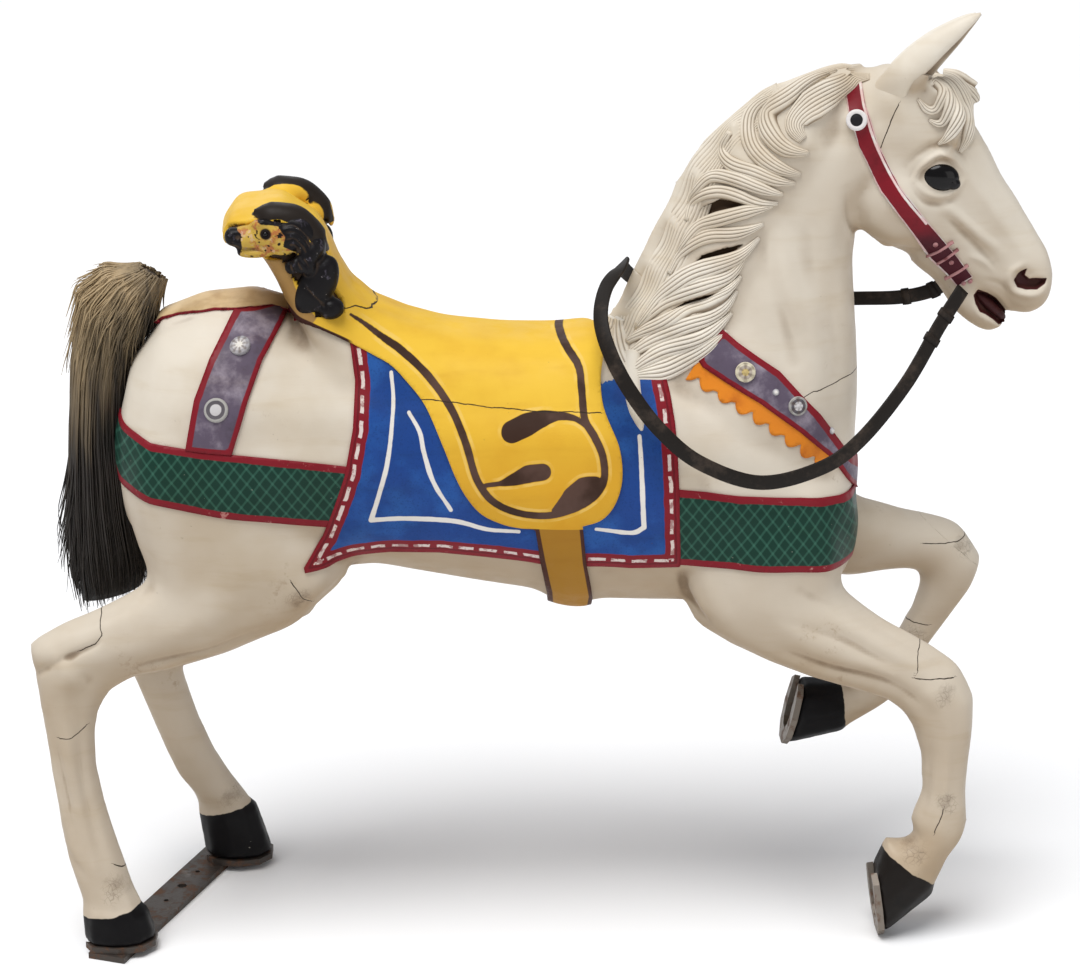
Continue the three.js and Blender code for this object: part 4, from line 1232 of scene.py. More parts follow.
# %% The mane's locks
LOCKS = [  # line in the side view, widths along it, height, strands
    ([(118, 792), (140, 818), (174, 841), (207, 854), (231, 864), (250, 888)], [8, 18, 22, 22, 16, 5], 6, 4),
    ([(86, 800), (82, 776), (84, 756), (93, 741)], [16, 26, 24, 8], 6, 4),
    ([(100, 800), (98, 774), (103, 752), (116, 737)], [16, 26, 24, 8], 7, 4),
    ([(112, 740), (149, 747), (177, 761), (204, 778), (227, 797)], [14, 28, 26, 20, 6], 6, 5),
    ([(110, 745), (142, 766), (177, 781), (208, 795), (233, 819)], [12, 22, 22, 18, 5], 7, 4),
    ([(106, 760), (136, 781), (173, 801), (207, 813), (227, 828), (239, 846)], [12, 20, 22, 20, 15, 5], 6, 4),
    ([(108, 775), (137, 796), (173, 816), (207, 829), (228, 846), (244, 864)], [10, 18, 20, 20, 15, 5], 8, 4),
    ([(120, 795), (147, 831), (177, 860), (214, 876), (244, 889), (266, 910)], [10, 20, 26, 26, 18, 5], 8, 5),
    ([(158, 862), (178, 894), (204, 910), (238, 915), (271, 927)], [8, 16, 20, 18, 5], 6, 4),
    ([(170, 886), (189, 916), (214, 930), (248, 941), (282, 949)], [8, 16, 20, 18, 5], 8, 4),
    ([(180, 925), (194, 955), (215, 963), (241, 960), (264, 952), (288, 952)], [8, 13, 17, 17, 14, 5], 7, 3),
    ([(186, 945), (199, 974), (217, 981), (241, 979), (265, 971), (294, 963)], [8, 14, 18, 19, 16, 5], 9, 4),
    ([(232, 1034), (223, 1008), (235, 995), (258, 989), (284, 980), (309, 976)], [8, 16, 20, 20, 16, 5], 7, 4),
    ([(297, 1080), (266, 1062), (254, 1042), (257, 1021), (270, 1006), (290, 994), (316, 987)],
     [10, 18, 22, 24, 24, 18, 5], 8, 5),
    ([(402, 1100), (373, 1094), (342, 1078), (318, 1060), (307, 1043), (318, 1029)],
     [10, 24, 36, 40, 31, 12], 6, 8),
    ([(352, 1104), (313, 1086), (286, 1068), (275, 1050), (280, 1033), (297, 1017), (325, 1013)],
     [10, 20, 24, 27, 27, 21, 6], 9, 5),
]
MANE_TONGUE = [(112, 766), (109, 742), (111, 718), (116, 700), (120, 684)]

mane_pieces = []
for side, name in ((RIGHT, "right_mane_locks"), (LEFT, "left_mane_locks")):
    bm = None
    for line, widths, lift, strands in LOCKS:
        if side == LEFT:
            line = [(x, z - max(0, z - 900) * 0.15) for x, z in line]
        bm = lock(bm, line, widths, lift, strands, side)
    if side == RIGHT:
        bm = lock(bm, MANE_TONGUE, [30, 33, 33, 27, 8], 8, 1, side)
    mane_pieces.append(make_piece(name, bm))
    print(name, len(mane_pieces[-1].data.polygons), "faces")

# %% [markdown]
# Above the locks, the hair stands as a ridge along the top of the neck. A ring of rays from inside the
# neck finds the surface there, and the ridge is swept just outside it with its grooves cut in. So it
# fits the neck closely, which a ridge of a fixed width wouldn't do.

# %% The crest, one long grooved ridge from the poll to the withers
CREST = [
    (398, 1119), (355, 1113), (307, 1095), (264, 1072), (228, 1038), (204, 1005), (189, 970), (177, 932),
    (159, 888), (144, 854), (125, 818), (107, 780), (94, 752),
]
CREST_HEART = 38
CREST_STRANDS = 26
CREST_SPREAD = 1.3

crest_line = smooth_line(CREST, 110)
crest_ahead = directions(crest_line)
inward = np.stack([-crest_ahead[:, 1], crest_ahead[:, 0]], 1)
heart = crest_line + inward * CREST_HEART
share_of_arc = np.linspace(-1, 1, 157)
reach = np.full((len(heart), len(share_of_arc)), 45.0)
spread = CREST_SPREAD * np.interp(np.linspace(0, 1, len(heart)), [0, 0.3, 1], [0.35, 0.95, 1])
for k, ((hx, hz), (ix, iz)) in enumerate(zip(heart, inward)):
    for i, angle in enumerate(share_of_arc * spread[k]):
        way = Vector((-ix * math.cos(angle), math.sin(angle), -iz * math.cos(angle)))
        distance = surface_tree.ray_cast(Vector((hx, 0, hz)), way, 110)[3]
        reach[k, i] = distance or 45.0
for _ in range(3):
    reach = settled(settled(reach, 4).T, 4).T
reach = np.minimum(reach, CREST_HEART + 3 + 40 * np.abs(share_of_arc) * spread[:, None])
rings, tones = [], []
for k, ((hx, hz), (ix, iz)) in enumerate(zip(heart, inward)):
    angle = share_of_arc * spread[k]
    wave = 0.45 * math.sin(0.13 * k) + 0.3 * np.sin(0.07 * k + 3 * share_of_arc)
    groove = 1 - np.abs(np.sin(np.pi * CREST_STRANDS * (share_of_arc + 1) / 2 + wave)) ** 0.6
    ends = min(1.0, k / 6, (len(heart) - 1 - k) / 14)
    grown = reach[k] - 2 + ends * (5.2 * (1 - share_of_arc**8) - 1.5 * groove)
    ring = [spot(hx - ix * math.cos(a) * r, math.sin(a) * r, hz - iz * math.cos(a) * r)
            for a, r in zip(angle, grown)]
    rings.append([*ring, spot(hx, 0, hz)])
    tones.append([*(0.8 * groove), 0.5])
mane_pieces.append(make_piece("mane_crest", sweep(rings, None, tones)))
print("crest", len(mane_pieces[-1].data.polygons), "faces")

# %% [markdown]
# Between the ears a few locks fall forward over the forehead. They are made with the same function as
# the mane's, which keeps their grooves alike.

# %% The forelock
FORELOCK = [
    ([(470, -38, 1094), (480, -40, 1097), (488, -47, 1088), (485, -51, 1077), (479, -46, 1063),
      (468, -44, 1064), (458, -42, 1076)], [8, 13, 14, 13, 12, 10, 4], 6, 3),
    ([(478, -34, 1098), (493, -45, 1086), (496, -51, 1071), (493, -49, 1055), (485, -45, 1046),
      (472, -45, 1051)], [8, 14, 16, 15, 12, 4], 6, 3),
    ([(484, -22, 1100), (502, -30, 1084), (509, -45, 1067), (505, -54, 1049), (497, -51, 1032),
      (485, -46, 1021)], [8, 16, 20, 20, 15, 4], 7, 4),
    ([(493, -8, 1100), (516, -12, 1082), (528, -20, 1058), (527, -30, 1037), (520, -36, 1022),
      (512, -40, 1010)], [10, 20, 26, 24, 18, 5], 7, 5),
    ([(496, 2, 1101), (515, 0, 1088), (534, 2, 1075), (546, 4, 1064)], [10, 17, 20, 13], 7, 4),
    ([(498, 14, 1101), (514, 13, 1097), (530, 14, 1092), (542, 15, 1088)], [9, 14, 15, 10], 6, 3),
    ([(488, 26, 1098), (506, 30, 1082), (514, 36, 1062), (512, 38, 1046)], [9, 16, 17, 5], 6, 4),
]
bm = None
for line, widths, lift, strands in FORELOCK:
    bm = lock(bm, line, widths, lift, strands)
mane_pieces.append(make_piece("forelock", bm))
print("forelock", len(FORELOCK), "locks")

# %% [markdown]
# An ear is a curled leaf with a deep slit in front. It is swept as rings that have a notch in them, so
# the slit is real shape and the ear stays one closed skin.

# %% The ears
EAR_LEAF = [  # back edge x and z, front edge x and z, half width, place in y
    (402, 1086, 444, 1052, 13, 23), (424, 1116, 459, 1080, 18, 34), (444, 1136, 479, 1097, 19, 37),
    (458, 1147, 489, 1110, 18.5, 38), (476, 1159, 500, 1125, 16, 39), (499, 1170.5, 512, 1143, 12, 40.5),
    (518, 1178, 523, 1162, 7, 41), (530, 1180.5, 531.5, 1177, 2, 41),
]


def ear(name, side, lean=(0, 0)):
    """A leaf with a narrow slit that opens forward and a little outward."""
    angles = np.linspace(0, 2 * np.pi, 56, endpoint=False)
    rings, tones = [], []
    for k, (tx, tz, bx, bz, half, y) in enumerate(smooth_line(EAR_LEAF, 44)):
        opening = (angles - 0.42 + np.pi) % (2 * np.pi) - np.pi
        notch = 0.92 * np.exp(-((opening / 0.62) ** 2)) * np.interp(k, [4, 12, 36, 43], [0, 1, 1, 0.2])
        wide = (1 - notch) * np.cos(angles)
        thick = (1 - notch) * np.sin(angles) * half
        x = (tx + bx) / 2 + (bx - tx) / 2 * wide + lean[0]
        z = (tz + bz) / 2 + (bz - tz) / 2 * wide + lean[1]
        rings.append([spot(*place) for place in zip(x, side * (y + thick), z)])
        tones.append(list(2.4 * notch))
    return make_piece(name, sweep(rings, None, tones))


mane_pieces += [ear("right_ear", RIGHT), ear("left_ear", LEFT, (9, -11))]


def hair_wood(paint):
    """The same yellowed white, with painted shade brown in the grooves and near black in the ear slits."""
    cloud = paint.noise(6.0, 4)
    # painted shade: brown down in the grooves, near black deep in the ear slits
    groove = paint.rise(paint.mark("hollow"), 0.0, 1.0)
    light = paint.mix((0.74, 0.685, 0.59), (0.58, 0.49, 0.37), paint.rise(cloud, 0.45, 0.7) * 0.7)
    light = paint.mix(light, (0.24, 0.165, 0.095), groove * 0.8)
    return paint.mix(light, (0.03, 0.02, 0.012), paint.rise(paint.mark("hollow"), 1.3, 1.9))


hair_paint = finish_paint("aged_hair_paint", hair_wood, dirt=0.55, crazing=0.2)
for piece in mane_pieces:
    piece.data.materials.append(hair_paint)
print("hair painted on", len(mane_pieces), "pieces")

# %% [markdown]
# ## Eyes, bosses and buckles
# The eyes are domes of glossy black glass or enamel between carved lids. The bosses on the straps are
# turned discs, some cut as rosettes, so their profiles are spun; the buckle's bars and keepers lie
# across the cheek strap.


# %% Eyes
def ball(bm, centre, radii, pitch=0.0, segments=32):
    """An ellipsoid of the drawing, its front end lifted by the pitch in degrees."""
    size = Matrix.Diagonal((*(Vector(radii) * MM), 1))
    turn = Matrix.Rotation(math.radians(-pitch), 4, "Y")
    place = Matrix.Translation(spot(*centre)) @ turn @ size
    bmesh.ops.create_uvsphere(bm, u_segments=segments, v_segments=segments // 2, radius=1, matrix=place)


def gloss_black(paint):
    return paint.finish((0.003, 0.0025, 0.0025, 1), 0.16, Specular_IOR_Level=0.22, Coat_Weight=0.06,
                        Coat_Roughness=0.05)


eye_gloss = gloss_black(Paint("glossy_black_eye"))
for side, name in ((RIGHT, "right_eye"), (LEFT, "left_eye")):
    bm = bmesh.new()
    place, _ = skin_at(*EYE, side)
    ball(bm, (EYE[0], place.y - side * 6, EYE[1]), (22.5, 10.5, 17.5), -8, 48)
    ball(bm, (EYE[0] + 12, place.y - side * 6, EYE[1] - 6), (13, 8.5, 9), -24, 32)
    make_piece(name, bm).data.materials.append(eye_gloss)
mouth_paint = finish_paint(
    "mouth_paint", lambda paint: paint.mix(MAROON, (0.02, 0.006, 0.006), paint.noise(90.0)))
bm = bmesh.new()
ball(bm, (563, 0, 812), (31, 18, 8), -42)
make_piece("mouth_lining", bm).data.materials.append(mouth_paint)
print("eyes at", EYE)

# %% [markdown]
# A flat strap runs from the poll down the cheek to the corner of the mouth. It is cut from the skin of
# the head like the other layers, so it lies on the carved cheek without a gap.

# %% The cheek strap
CHEEK_RIGHT_EDGE = [(537, 852), (525, 867), (513, 882), (499, 898), (475, 925), (439, 969), (410, 1023),
                    (396, 1065), (392, 1093)]
CHEEK_STRAP = [(370, 1094), (374, 1062), (386, 1021), (415, 965), (454, 915), (471, 893), (484, 875),
               (505, 855), (520, 838), *CHEEK_RIGHT_EDGE]
cheek, _ = layer("cheek_strap", CHEEK_STRAP, 2.6, lambda points: points[:, 2] > 820,
                 marks={"pale": along([([1.6], [(x - 2.2, z - 1.2) for x, z in CHEEK_RIGHT_EDGE[4:]])])},
                 fine=[("pale", 5)])


def cheek_design(paint):
    inset = paint.mark("inset")
    red = paint.mix((0.19, 0.010, 0.018), DARK_RED, paint.rise(paint.noise(24.0, 4), 0.45, 0.7) * 0.8)
    height = paint.node("ShaderNodeSeparateXYZ", inputs={"Vector": paint.place}, output="Z")
    red = paint.mix(red, (0.06, 0.008, 0.014), paint.rise(height, 0.925, 0.895))
    pink = paint.mix((0.72, 0.52, 0.50), CHALK, paint.rise(paint.noise(50.0, 4), 0.45, 0.6))
    edge = paint.rise(unsteady(paint, paint.mark("pale"), 0.6), 0.5, -0.5)
    colour = paint.mix(red, pink, edge)
    return paint.mix(colour, pink, paint.rise(unsteady(paint, inset, 0.7), 1.1, 0.6) * 0.8)


cheek.data.materials.append(finish_paint("cheek_strap_paint", cheek_design))

# %% [markdown]
# Round turned ornaments sit where the straps meet. A turner makes one by cutting a profile while the
# wood spins, and bmesh's spin does exactly that. The petals and studs are set round it in a loop.

# %% Bosses and rosettes
def boss(name, x, z, side, radius, rise, profile, petals=0):
    """A turned disc on a strap: its profile is spun, and petals are pressed into it."""
    bm = bmesh.new()
    ring = bm.verts.layers.float.new("ring")
    hollow = bm.verts.layers.float.new("hollow")
    rows = [bm.verts.new((share * radius * MM, 0, height * MM)) for share, height in profile]
    edges = [bm.edges.new(pair) for pair in zip(rows, rows[1:])]
    bmesh.ops.spin(bm, geom=rows + edges, angle=2 * math.pi, steps=48, use_merge=True,
                   axis=(0, 0, 1), cent=(0, 0, 0))
    bmesh.ops.remove_doubles(bm, verts=bm.verts, dist=0.02 * MM)
    rim = [edge for edge in bm.edges if edge.is_boundary]
    bmesh.ops.holes_fill(bm, edges=rim)
    bmesh.ops.recalc_face_normals(bm, faces=bm.faces)
    place, facing = skin_at(x, z, side)
    base = (place + facing * (rise - 1) + DRAWN_ORIGIN) * MM
    turn = facing.to_track_quat("Z", "Y").to_matrix().to_4x4()
    for vert in bm.verts:
        out = math.hypot(vert.co.x, vert.co.y) / (radius * MM)
        angle = math.atan2(vert.co.y, vert.co.x)
        vert[ring] = out
        if petals and 0.25 < out < 0.95:
            dip = 0.5 - 0.5 * math.cos(petals * angle)
            vert.co.z -= 1.3 * MM * dip * math.sin(math.pi * (out - 0.25) / 0.7)
            vert[hollow] = 0.9 * dip
    bmesh.ops.transform(bm, matrix=Matrix.Translation(base) @ turn, verts=bm.verts)
    return make_piece(name, bm)


def ringed(centre, middle, rim, bound=0.62):
    """A finish of rings: a centre, a middle band and a rim."""
    def design(paint):
        out = unsteady(paint, paint.mark("ring"), 0.05, 90.0)
        colour = paint.mix(centre, middle, paint.rise(out, bound - 0.16, bound - 0.1))
        return paint.mix(colour, rim, paint.rise(out, bound + 0.16, bound + 0.2))
    return design


DISC = [(0, 4.4), (0.2, 4.3), (0.42, 4.0), (0.55, 3.2), (0.66, 3.6), (0.8, 4.0), (0.92, 3.4), (1.0, 2.2),
        (1.0, -2.0)]
FLOWER = [(0, 5.6), (0.14, 5.3), (0.24, 4.2), (0.3, 4.4), (0.45, 4.9), (0.6, 4.9), (0.75, 4.4),
          (0.86, 3.4), (0.93, 3.9), (1.0, 2.6), (1.0, -2.0)]
STUD = [(0, 3.6), (0.4, 3.3), (0.7, 2.4), (0.92, 1.2), (1.0, -2.0)]
GILT, SILVER, BLACK = (0.50, 0.38, 0.16), (0.52, 0.50, 0.50), (0.015, 0.014, 0.016)
boss_paints = {
    "gilt": finish_paint("gilt_rosette_paint", ringed(GILT, (0.42, 0.36, 0.30), (0.62, 0.56, 0.42), 0.5)),
    "silver": finish_paint("silver_rosette_paint", ringed(CHALK, SILVER, (0.34, 0.33, 0.35), 0.5)),
    "dark": finish_paint("dark_rosette_paint", ringed(SILVER, (0.10, 0.09, 0.10), (0.36, 0.35, 0.33), 0.6)),
    "ring": finish_paint("ringed_boss_paint", ringed(BLACK, (0.70, 0.67, 0.66), (0.72, 0.69, 0.68), 0.72)),
}
BOSSES = [  # name, x, z, radius, height above the skin, profile, petals, paint
    ("collar_upper_rosette", 249, 750, 12.5, 3.4, FLOWER, 6, "gilt"),
    ("collar_lower_rosette", 313, 707, 12, 3.4, FLOWER, 6, "dark"),
    ("collar_upper_stud", 286, 725, 4.6, 3.4, STUD, 0, "silver"),
    ("collar_lower_stud", 358, 669, 4.6, 3.4, STUD, 0, "silver"),
    ("rump_upper_rosette", -367, 788, 13, 3.4, FLOWER, 8, "silver"),
    ("rump_lower_rosette", -396, 718, 15, 3.4, DISC, 0, "dark"),
    ("cheek_boss", 383, 1052, 13, 2.6, DISC, 0, "ring"),
]
for label, x, z, radius, rise, profile, petals, finish in BOSSES:
    for side, hand in ((RIGHT, "right"), (LEFT, "left")):
        made = boss(f"{hand}_{label}", x, z, side, radius, rise, profile, petals)
        made.data.materials.append(boss_paints[finish])
print(2 * len(BOSSES), "bosses")

# %% [markdown]
# Small raised bars and rivets lie across the lower end of the strap. A bar is a lock with one strand,
# which already follows the cheek, and a rivet is a small turned boss.

# %% Buckle bars on the cheek strap
BARS = [[(480, 879), (509, 899)], [(493, 870), (516, 889)], [(504, 849), (530, 868)]]
RIVETS = [(487, 896, 3.6), (509, 872, 3.4), (527, 843, 3.2), (535, 846, 3.2)]


def bar_design(paint):
    return paint.mix((0.40, 0.20, 0.20), (0.20, 0.06, 0.065), paint.rise(paint.noise(70.0, 4), 0.5, 0.65))


bar_paint = finish_paint("buckle_paint", bar_design)
for side, hand in ((RIGHT, "right"), (LEFT, "left")):
    bm = None
    for line in BARS:
        bm = lock(bm, line, [4, 4.8, 4.8, 4], 6, 1, side, 4, 16)
    make_piece(f"{hand}_buckle_bars", bm).data.materials.append(bar_paint)
    for n, (x, z, radius) in enumerate(RIVETS):
        rivet = boss(f"{hand}_cheek_rivet_{n + 1}", x, z, side, radius, 2.6, STUD)
        rivet.data.materials.append(bar_paint)
print(len(BARS), "bars and", len(RIVETS), "rivets on each side")

# %% [markdown]
# ## The beasts on the cantle
# Each side of the cantle ends in a maned beast's head that looks backwards over a folded black paw.
# A carver builds such a head from a few round masses and then cuts the hair, so here a few ellipsoids
# are grown together by a remesh, relaxed and grooved. Sculpting them from one block of clay would
# need a hand; masses and strokes can be written down and mirrored.


# %% Model the beasts
BEAST = [  # x, depth in y, z; radii; pitch
    (-322, 92, 926, 35, 24, 21, -6), (-355, 92, 920, 24, 18, 16, -3), (-373, 92, 922, 11, 14, 12, 0),
    (-336, 102, 938, 14, 10, 7, -8), (-314, 102, 916, 22, 13, 15, 0), (-342, 94, 906, 28, 15, 9, 6),
    (-296, 93, 926, 27, 23, 22, -30), (-280, 94, 904, 17, 21, 25, -28), (-274, 95, 862, 23, 19, 41, -28),
    (-303, 101, 887, 9, 10, 10, 0), (-294, 107, 890, 9, 9, 11, 0), (-283, 110, 889, 9, 8, 12, 0),
    (-258, 97, 834, 17, 15, 14, 0),
]
BEAST_CUTS = [  # line, half width, depth
    ([(-312, 938), (-299, 940), (-284, 928), (-272, 908)], 2.4, -3),
    ([(-310, 931), (-297, 932), (-284, 920), (-277, 904)], 2.4, -3),
    ([(-308, 923), (-298, 923), (-289, 912), (-284, 902)], 2.4, -3),
    ([(-306, 916), (-298, 914), (-292, 905)], 2.4, -2.6),
    ([(-382, 913), (-364, 909), (-346, 909), (-328, 903)], 2.4, -3),
    ([(-346, 938), (-335, 943), (-322, 940)], 3, 2.4),
    ([(-330, 916), (-320, 908), (-306, 906)], 3, -2),
    ([(-306, 894), (-302, 880)], 2.2, -3), ([(-297, 899), (-290, 883)], 2.2, -3),
    ([(-288, 900), (-278, 884)], 2.2, -3), ([(-290, 868), (-272, 848), (-262, 836)], 2.4, -2),
]
BEAST_EYE = (-333, 929)
BEAST_BLACK = [
    [(-352, 950), (-250, 950), (-240, 905), (-245, 893), (-268, 893), (-284, 898), (-297, 905),
     (-312, 914), (-309, 926), (-318, 938), (-338, 941)],
    [(-400, 940), (-372, 938), (-363, 928), (-362, 914), (-366, 895), (-400, 895)],
    [(-318, 897), (-298, 903), (-280, 900), (-250, 895), (-228, 860), (-226, 805), (-288, 805),
     (-302, 838), (-318, 875)],
]


def beast_design(paint):
    patches = paint.noise(75.0, 4, 0.6)
    face = paint.mix((0.52, 0.34, 0.06), (0.40, 0.145, 0.045), paint.rise(patches, 0.46, 0.56))
    face = paint.mix(face, (0.58, 0.40, 0.28), paint.rise(paint.noise(110.0, 3), 0.58, 0.66) * 0.6)
    face = paint.mix(face, (0.012, 0.007, 0.006), paint.rise(paint.noise(130.0, 2), 0.60, 0.66))
    face = paint.mix(face, (0.01, 0.006, 0.006), paint.rise(paint.mark("eye"), 0.35, 0.6))
    # painted highlights: grey violet patches on the black paint
    black = paint.mix((0.007, 0.006, 0.007), (0.10, 0.09, 0.12), paint.rise(patches, 0.58, 0.70) * 0.6)
    black = paint.mix(black, (0.50, 0.47, 0.44), paint.rise(paint.noise(150.0, 4, 0.7), 0.66, 0.70) * 0.8)
    return paint.mix(face, black, paint.rise(unsteady(paint, paint.mark("black"), 2.0, 120.0), -0.6, 0.6))


beast_paint = finish_paint("cantle_beast_paint", beast_design, dirt=1.2, crazing=0.3, shine=0.33)
for side, hand in ((RIGHT, "right"), (LEFT, "left")):
    bm = bmesh.new()
    for x, y, z, long, wide, high, pitch in BEAST:
        behind_post = 14 if side == LEFT and x > -305 else 0
        ball(bm, (x - behind_post, side * y, z), (long, wide, high), pitch)
    carved = remesh(bm, 1.9)
    work = Carving(carved)
    work.smooth(np.full(len(work.points), 0.7), 10)
    for line, width, lift in BEAST_CUTS:
        work.stroke(line, width, lift, [side])
    work.dab((BEAST_EYE[0], 112, BEAST_EYE[1]), 7, -3.5, [side])
    work.dab((-367, 106, 924), 5, -4, [side])
    work.dab((-374, 104, 916), 3, -2, [side])
    flat = work.points[:, [0, 2]]
    depth = np.maximum.reduce([outline_depth(flat, outline) for outline in BEAST_BLACK])
    normals = work.normals()
    even = np.full(len(work.points), 0.9)
    hollow = ((work.relax(work.points, even, 8) - work.points) * normals).sum(1)
    store(carved, "black", depth)
    store(carved, "eye", np.exp(-((np.hypot(*(flat - BEAST_EYE).T) / 8) ** 2)))
    store(carved, "hollow", hollow)
    bm = bmesh.new()
    bm.from_mesh(carved)
    made = make_piece(f"{hand}_cantle_beast", bm)
    made.data.materials.append(beast_paint)
    near_eye = np.hypot(*(flat - BEAST_EYE).T) < 3
    surface_y = np.abs(work.points[near_eye, 1]).max()
    bm = bmesh.new()
    ball(bm, (BEAST_EYE[0], side * (surface_y - 1.5), BEAST_EYE[1]), (3.6, 3.2, 3.2), 0, 20)
    make_piece(f"{hand}_beast_eye", bm).data.materials.append(eye_gloss)
    print(made.name, len(carved.polygons), "faces")

# %% [markdown]
# ## The tail
# The tail is real hair: tawny and bushy where it leaves the rump, dark and straight below. Strands are
# bevelled curves, made a mesh at once, round a core that closes the gaps between them; the core is
# painted darker than the strands, as painted shade inside the tail. A hair system would not leave
# this scene as geometry.

# %% Grow the tail
TAIL_STATIONS = np.array([  # back edge x and z, front edge x and z, half width
    (-498, 870, -464, 850, 15), (-541, 864, -480, 810, 33), (-568, 834, -505, 766, 43),
    (-585, 745, -518, 722, 44), (-592, 660, -522, 650, 45), (-598, 570, -514, 556, 43),
    (-602, 486, -500, 478, 40), (-592, 416, -508, 444, 30),
], float)
STRANDS = 950
TUFTS = 620
WISPS = 60
dice = random.Random(7)


def in_tail(station, angle, out):
    """A place in the tail: how far down, in which direction and how far from its middle."""
    row = [np.interp(station, range(len(TAIL_STATIONS)), column) for column in TAIL_STATIONS.T]
    back, front, half = np.array(row[:2]), np.array(row[2:4]), row[4]
    middle, reach = (back + front) / 2, (back - front) / 2
    x, z = middle + reach * math.cos(angle) * out
    return x, half * math.sin(angle) * out, z


def strand(curve, first, last, angle, out, flare, thick):
    stations = np.linspace(first, last, 15)
    places = []
    wander, beat, phase = dice.uniform(1, 5), dice.uniform(0.9, 1.8), dice.uniform(0, 6)
    stray_x, stray_z = dice.uniform(-75, 75) * flare, dice.uniform(-75, 75) * flare
    for k, station in enumerate(stations):
        spread = out * (1 + flare * (k / 14) ** 1.5)
        sway = wander * math.sin(beat * station + phase) * k / 14
        x, y, z = in_tail(station, angle, spread)
        tip = (k / 14) ** 2
        places.append((max(x + 0.6 * sway + stray_x * tip, -612), y + sway, z + stray_z * tip))
    line = smooth_line(places, 15)
    spline = curve.splines.new("POLY")
    spline.points.add(len(line) - 1)
    for k, (point, place) in enumerate(zip(spline.points, line)):
        point.co = (*spot(*place), 1)
        point.radius = thick * (1 - 0.8 * (k / 14) ** 2)


def strands_piece(name, made_by):
    curve = bpy.data.curves.new(name, "CURVE")
    curve.dimensions = "3D"
    curve.bevel_depth = MM
    curve.bevel_resolution = 0
    made_by(curve)
    holder = bpy.data.objects.new(name + "_curve", curve)
    bpy.context.scene.collection.objects.link(holder)
    ready = holder.evaluated_get(bpy.context.evaluated_depsgraph_get())
    mesh = bpy.data.meshes.new_from_object(ready)
    bpy.data.objects.remove(holder)
    bm = bmesh.new()
    bm.from_mesh(mesh)
    piece = make_piece(name, bm, ("horsehair_tail",))
    print(name, len(piece.data.polygons), "faces")
    return piece


def long_strands(curve):
    for _ in range(STRANDS):
        strand(curve, dice.uniform(0, 0.8), dice.uniform(5.6, 7.0), dice.uniform(0, 2 * math.pi),
               dice.uniform(0.72, 1.0), 0.03, dice.uniform(1.3, 2.2))


def top_tuft(curve):
    for _ in range(TUFTS):
        first = dice.uniform(0, 0.9)
        strand(curve, first, first + dice.uniform(0.9, 2.6), dice.uniform(0, 2 * math.pi),
               dice.uniform(0.84, 1.04), 0.17, dice.uniform(1.0, 1.9))


def wisps(curve):
    for _ in range(WISPS):
        first = dice.uniform(3.6, 4.6)
        strand(curve, first, first + dice.uniform(1.2, 2.0), dice.gauss(0, 0.5),
               dice.uniform(0.9, 1.0), 0.22, dice.uniform(1.0, 1.7))


def hair_paint_of(name, light, dark, low, high):
    """Hair in fine streaks, light above and dark below."""
    paint = Paint(name)
    streak = paint.noise(1.0, 3, at=paint.stretched((160, 160, 7)))
    lock_tone = paint.noise(1.0, 2, at=paint.stretched((40, 40, 5)))
    height = paint.node("ShaderNodeSeparateXYZ", inputs={"Vector": paint.place}, output="Z")
    back = paint.node("ShaderNodeSeparateXYZ", inputs={"Vector": paint.place}, output="X")
    shade = height + (lock_tone - 0.5) * 0.22 + (streak - 0.5) * 0.20 - (back + 0.55) * 1.3
    colour = paint.mix(dark, light, paint.rise(shade, low, high))
    colour = paint.mix(colour, (0.012, 0.008, 0.006), paint.rise(streak, 0.55, 0.75) * 0.6)
    return paint.finish(colour, 0.55, streak, 0.3, 0.4)


tail_paint = hair_paint_of("tail_hair_colour", (0.42, 0.305, 0.165), (0.015, 0.010, 0.006), 0.64, 0.90)
core_rings = []
for station in np.linspace(0.1, 6.8, 40):
    core_rings.append([spot(*in_tail(station, angle, 0.86)) for angle in np.linspace(0, 6.02, 24)])
core = make_piece("tail_core", sweep(core_rings), ("horsehair_tail",))
# painted shade: the core is darker than the strands, as the inside of a tail is
core_shade_paint = hair_paint_of("tail_core_colour", (0.11, 0.07, 0.036), (0.008, 0.006, 0.004), 0.66, 0.88)
core.data.materials.append(core_shade_paint)
strands_piece("tail_long_hair", long_strands).data.materials.append(tail_paint)
strands_piece("tail_top_hair", top_tuft).data.materials.append(tail_paint)
strands_piece("tail_wisps", wisps).data.materials.append(tail_paint)

# %% [markdown]
# Short loops of leather hold the doubled strap of the reins together. They use the strap's own section,
# grown outwards a little, so they fit round it at every place.

# %% Keepers on the reins
KEEPERS = [7, 14]


def rein_ring(k, grow):
    """The strap's section at one of its steps, grown outwards a little."""
    p, a, o = rein_line[k], rein_across[k], rein_out[k]
    return [spot(*(p + u * grow * a + v * (grow + 0.35) * o)) for u, v in section]


bm = None
for k in KEEPERS + [REIN_STEPS - 1 - k for k in KEEPERS]:
    rings = [rein_ring(k, 1.0), rein_ring(k, 1.16), rein_ring(k + 1, 1.18), rein_ring(k + 2, 1.16),
             rein_ring(k + 2, 1.0)]
    bm = sweep(rings, bm)
keepers = make_piece("rein_keepers", bm, ["leather_reins"])
print(2 * len(KEEPERS), "keepers")

# %% [markdown]
# ## Iron and leather
# The bar and shoes keep their imported shape. Old wrought iron is dark brown with scaly rust; the
# strap is dark leather with a fine grain and an uneven tone.


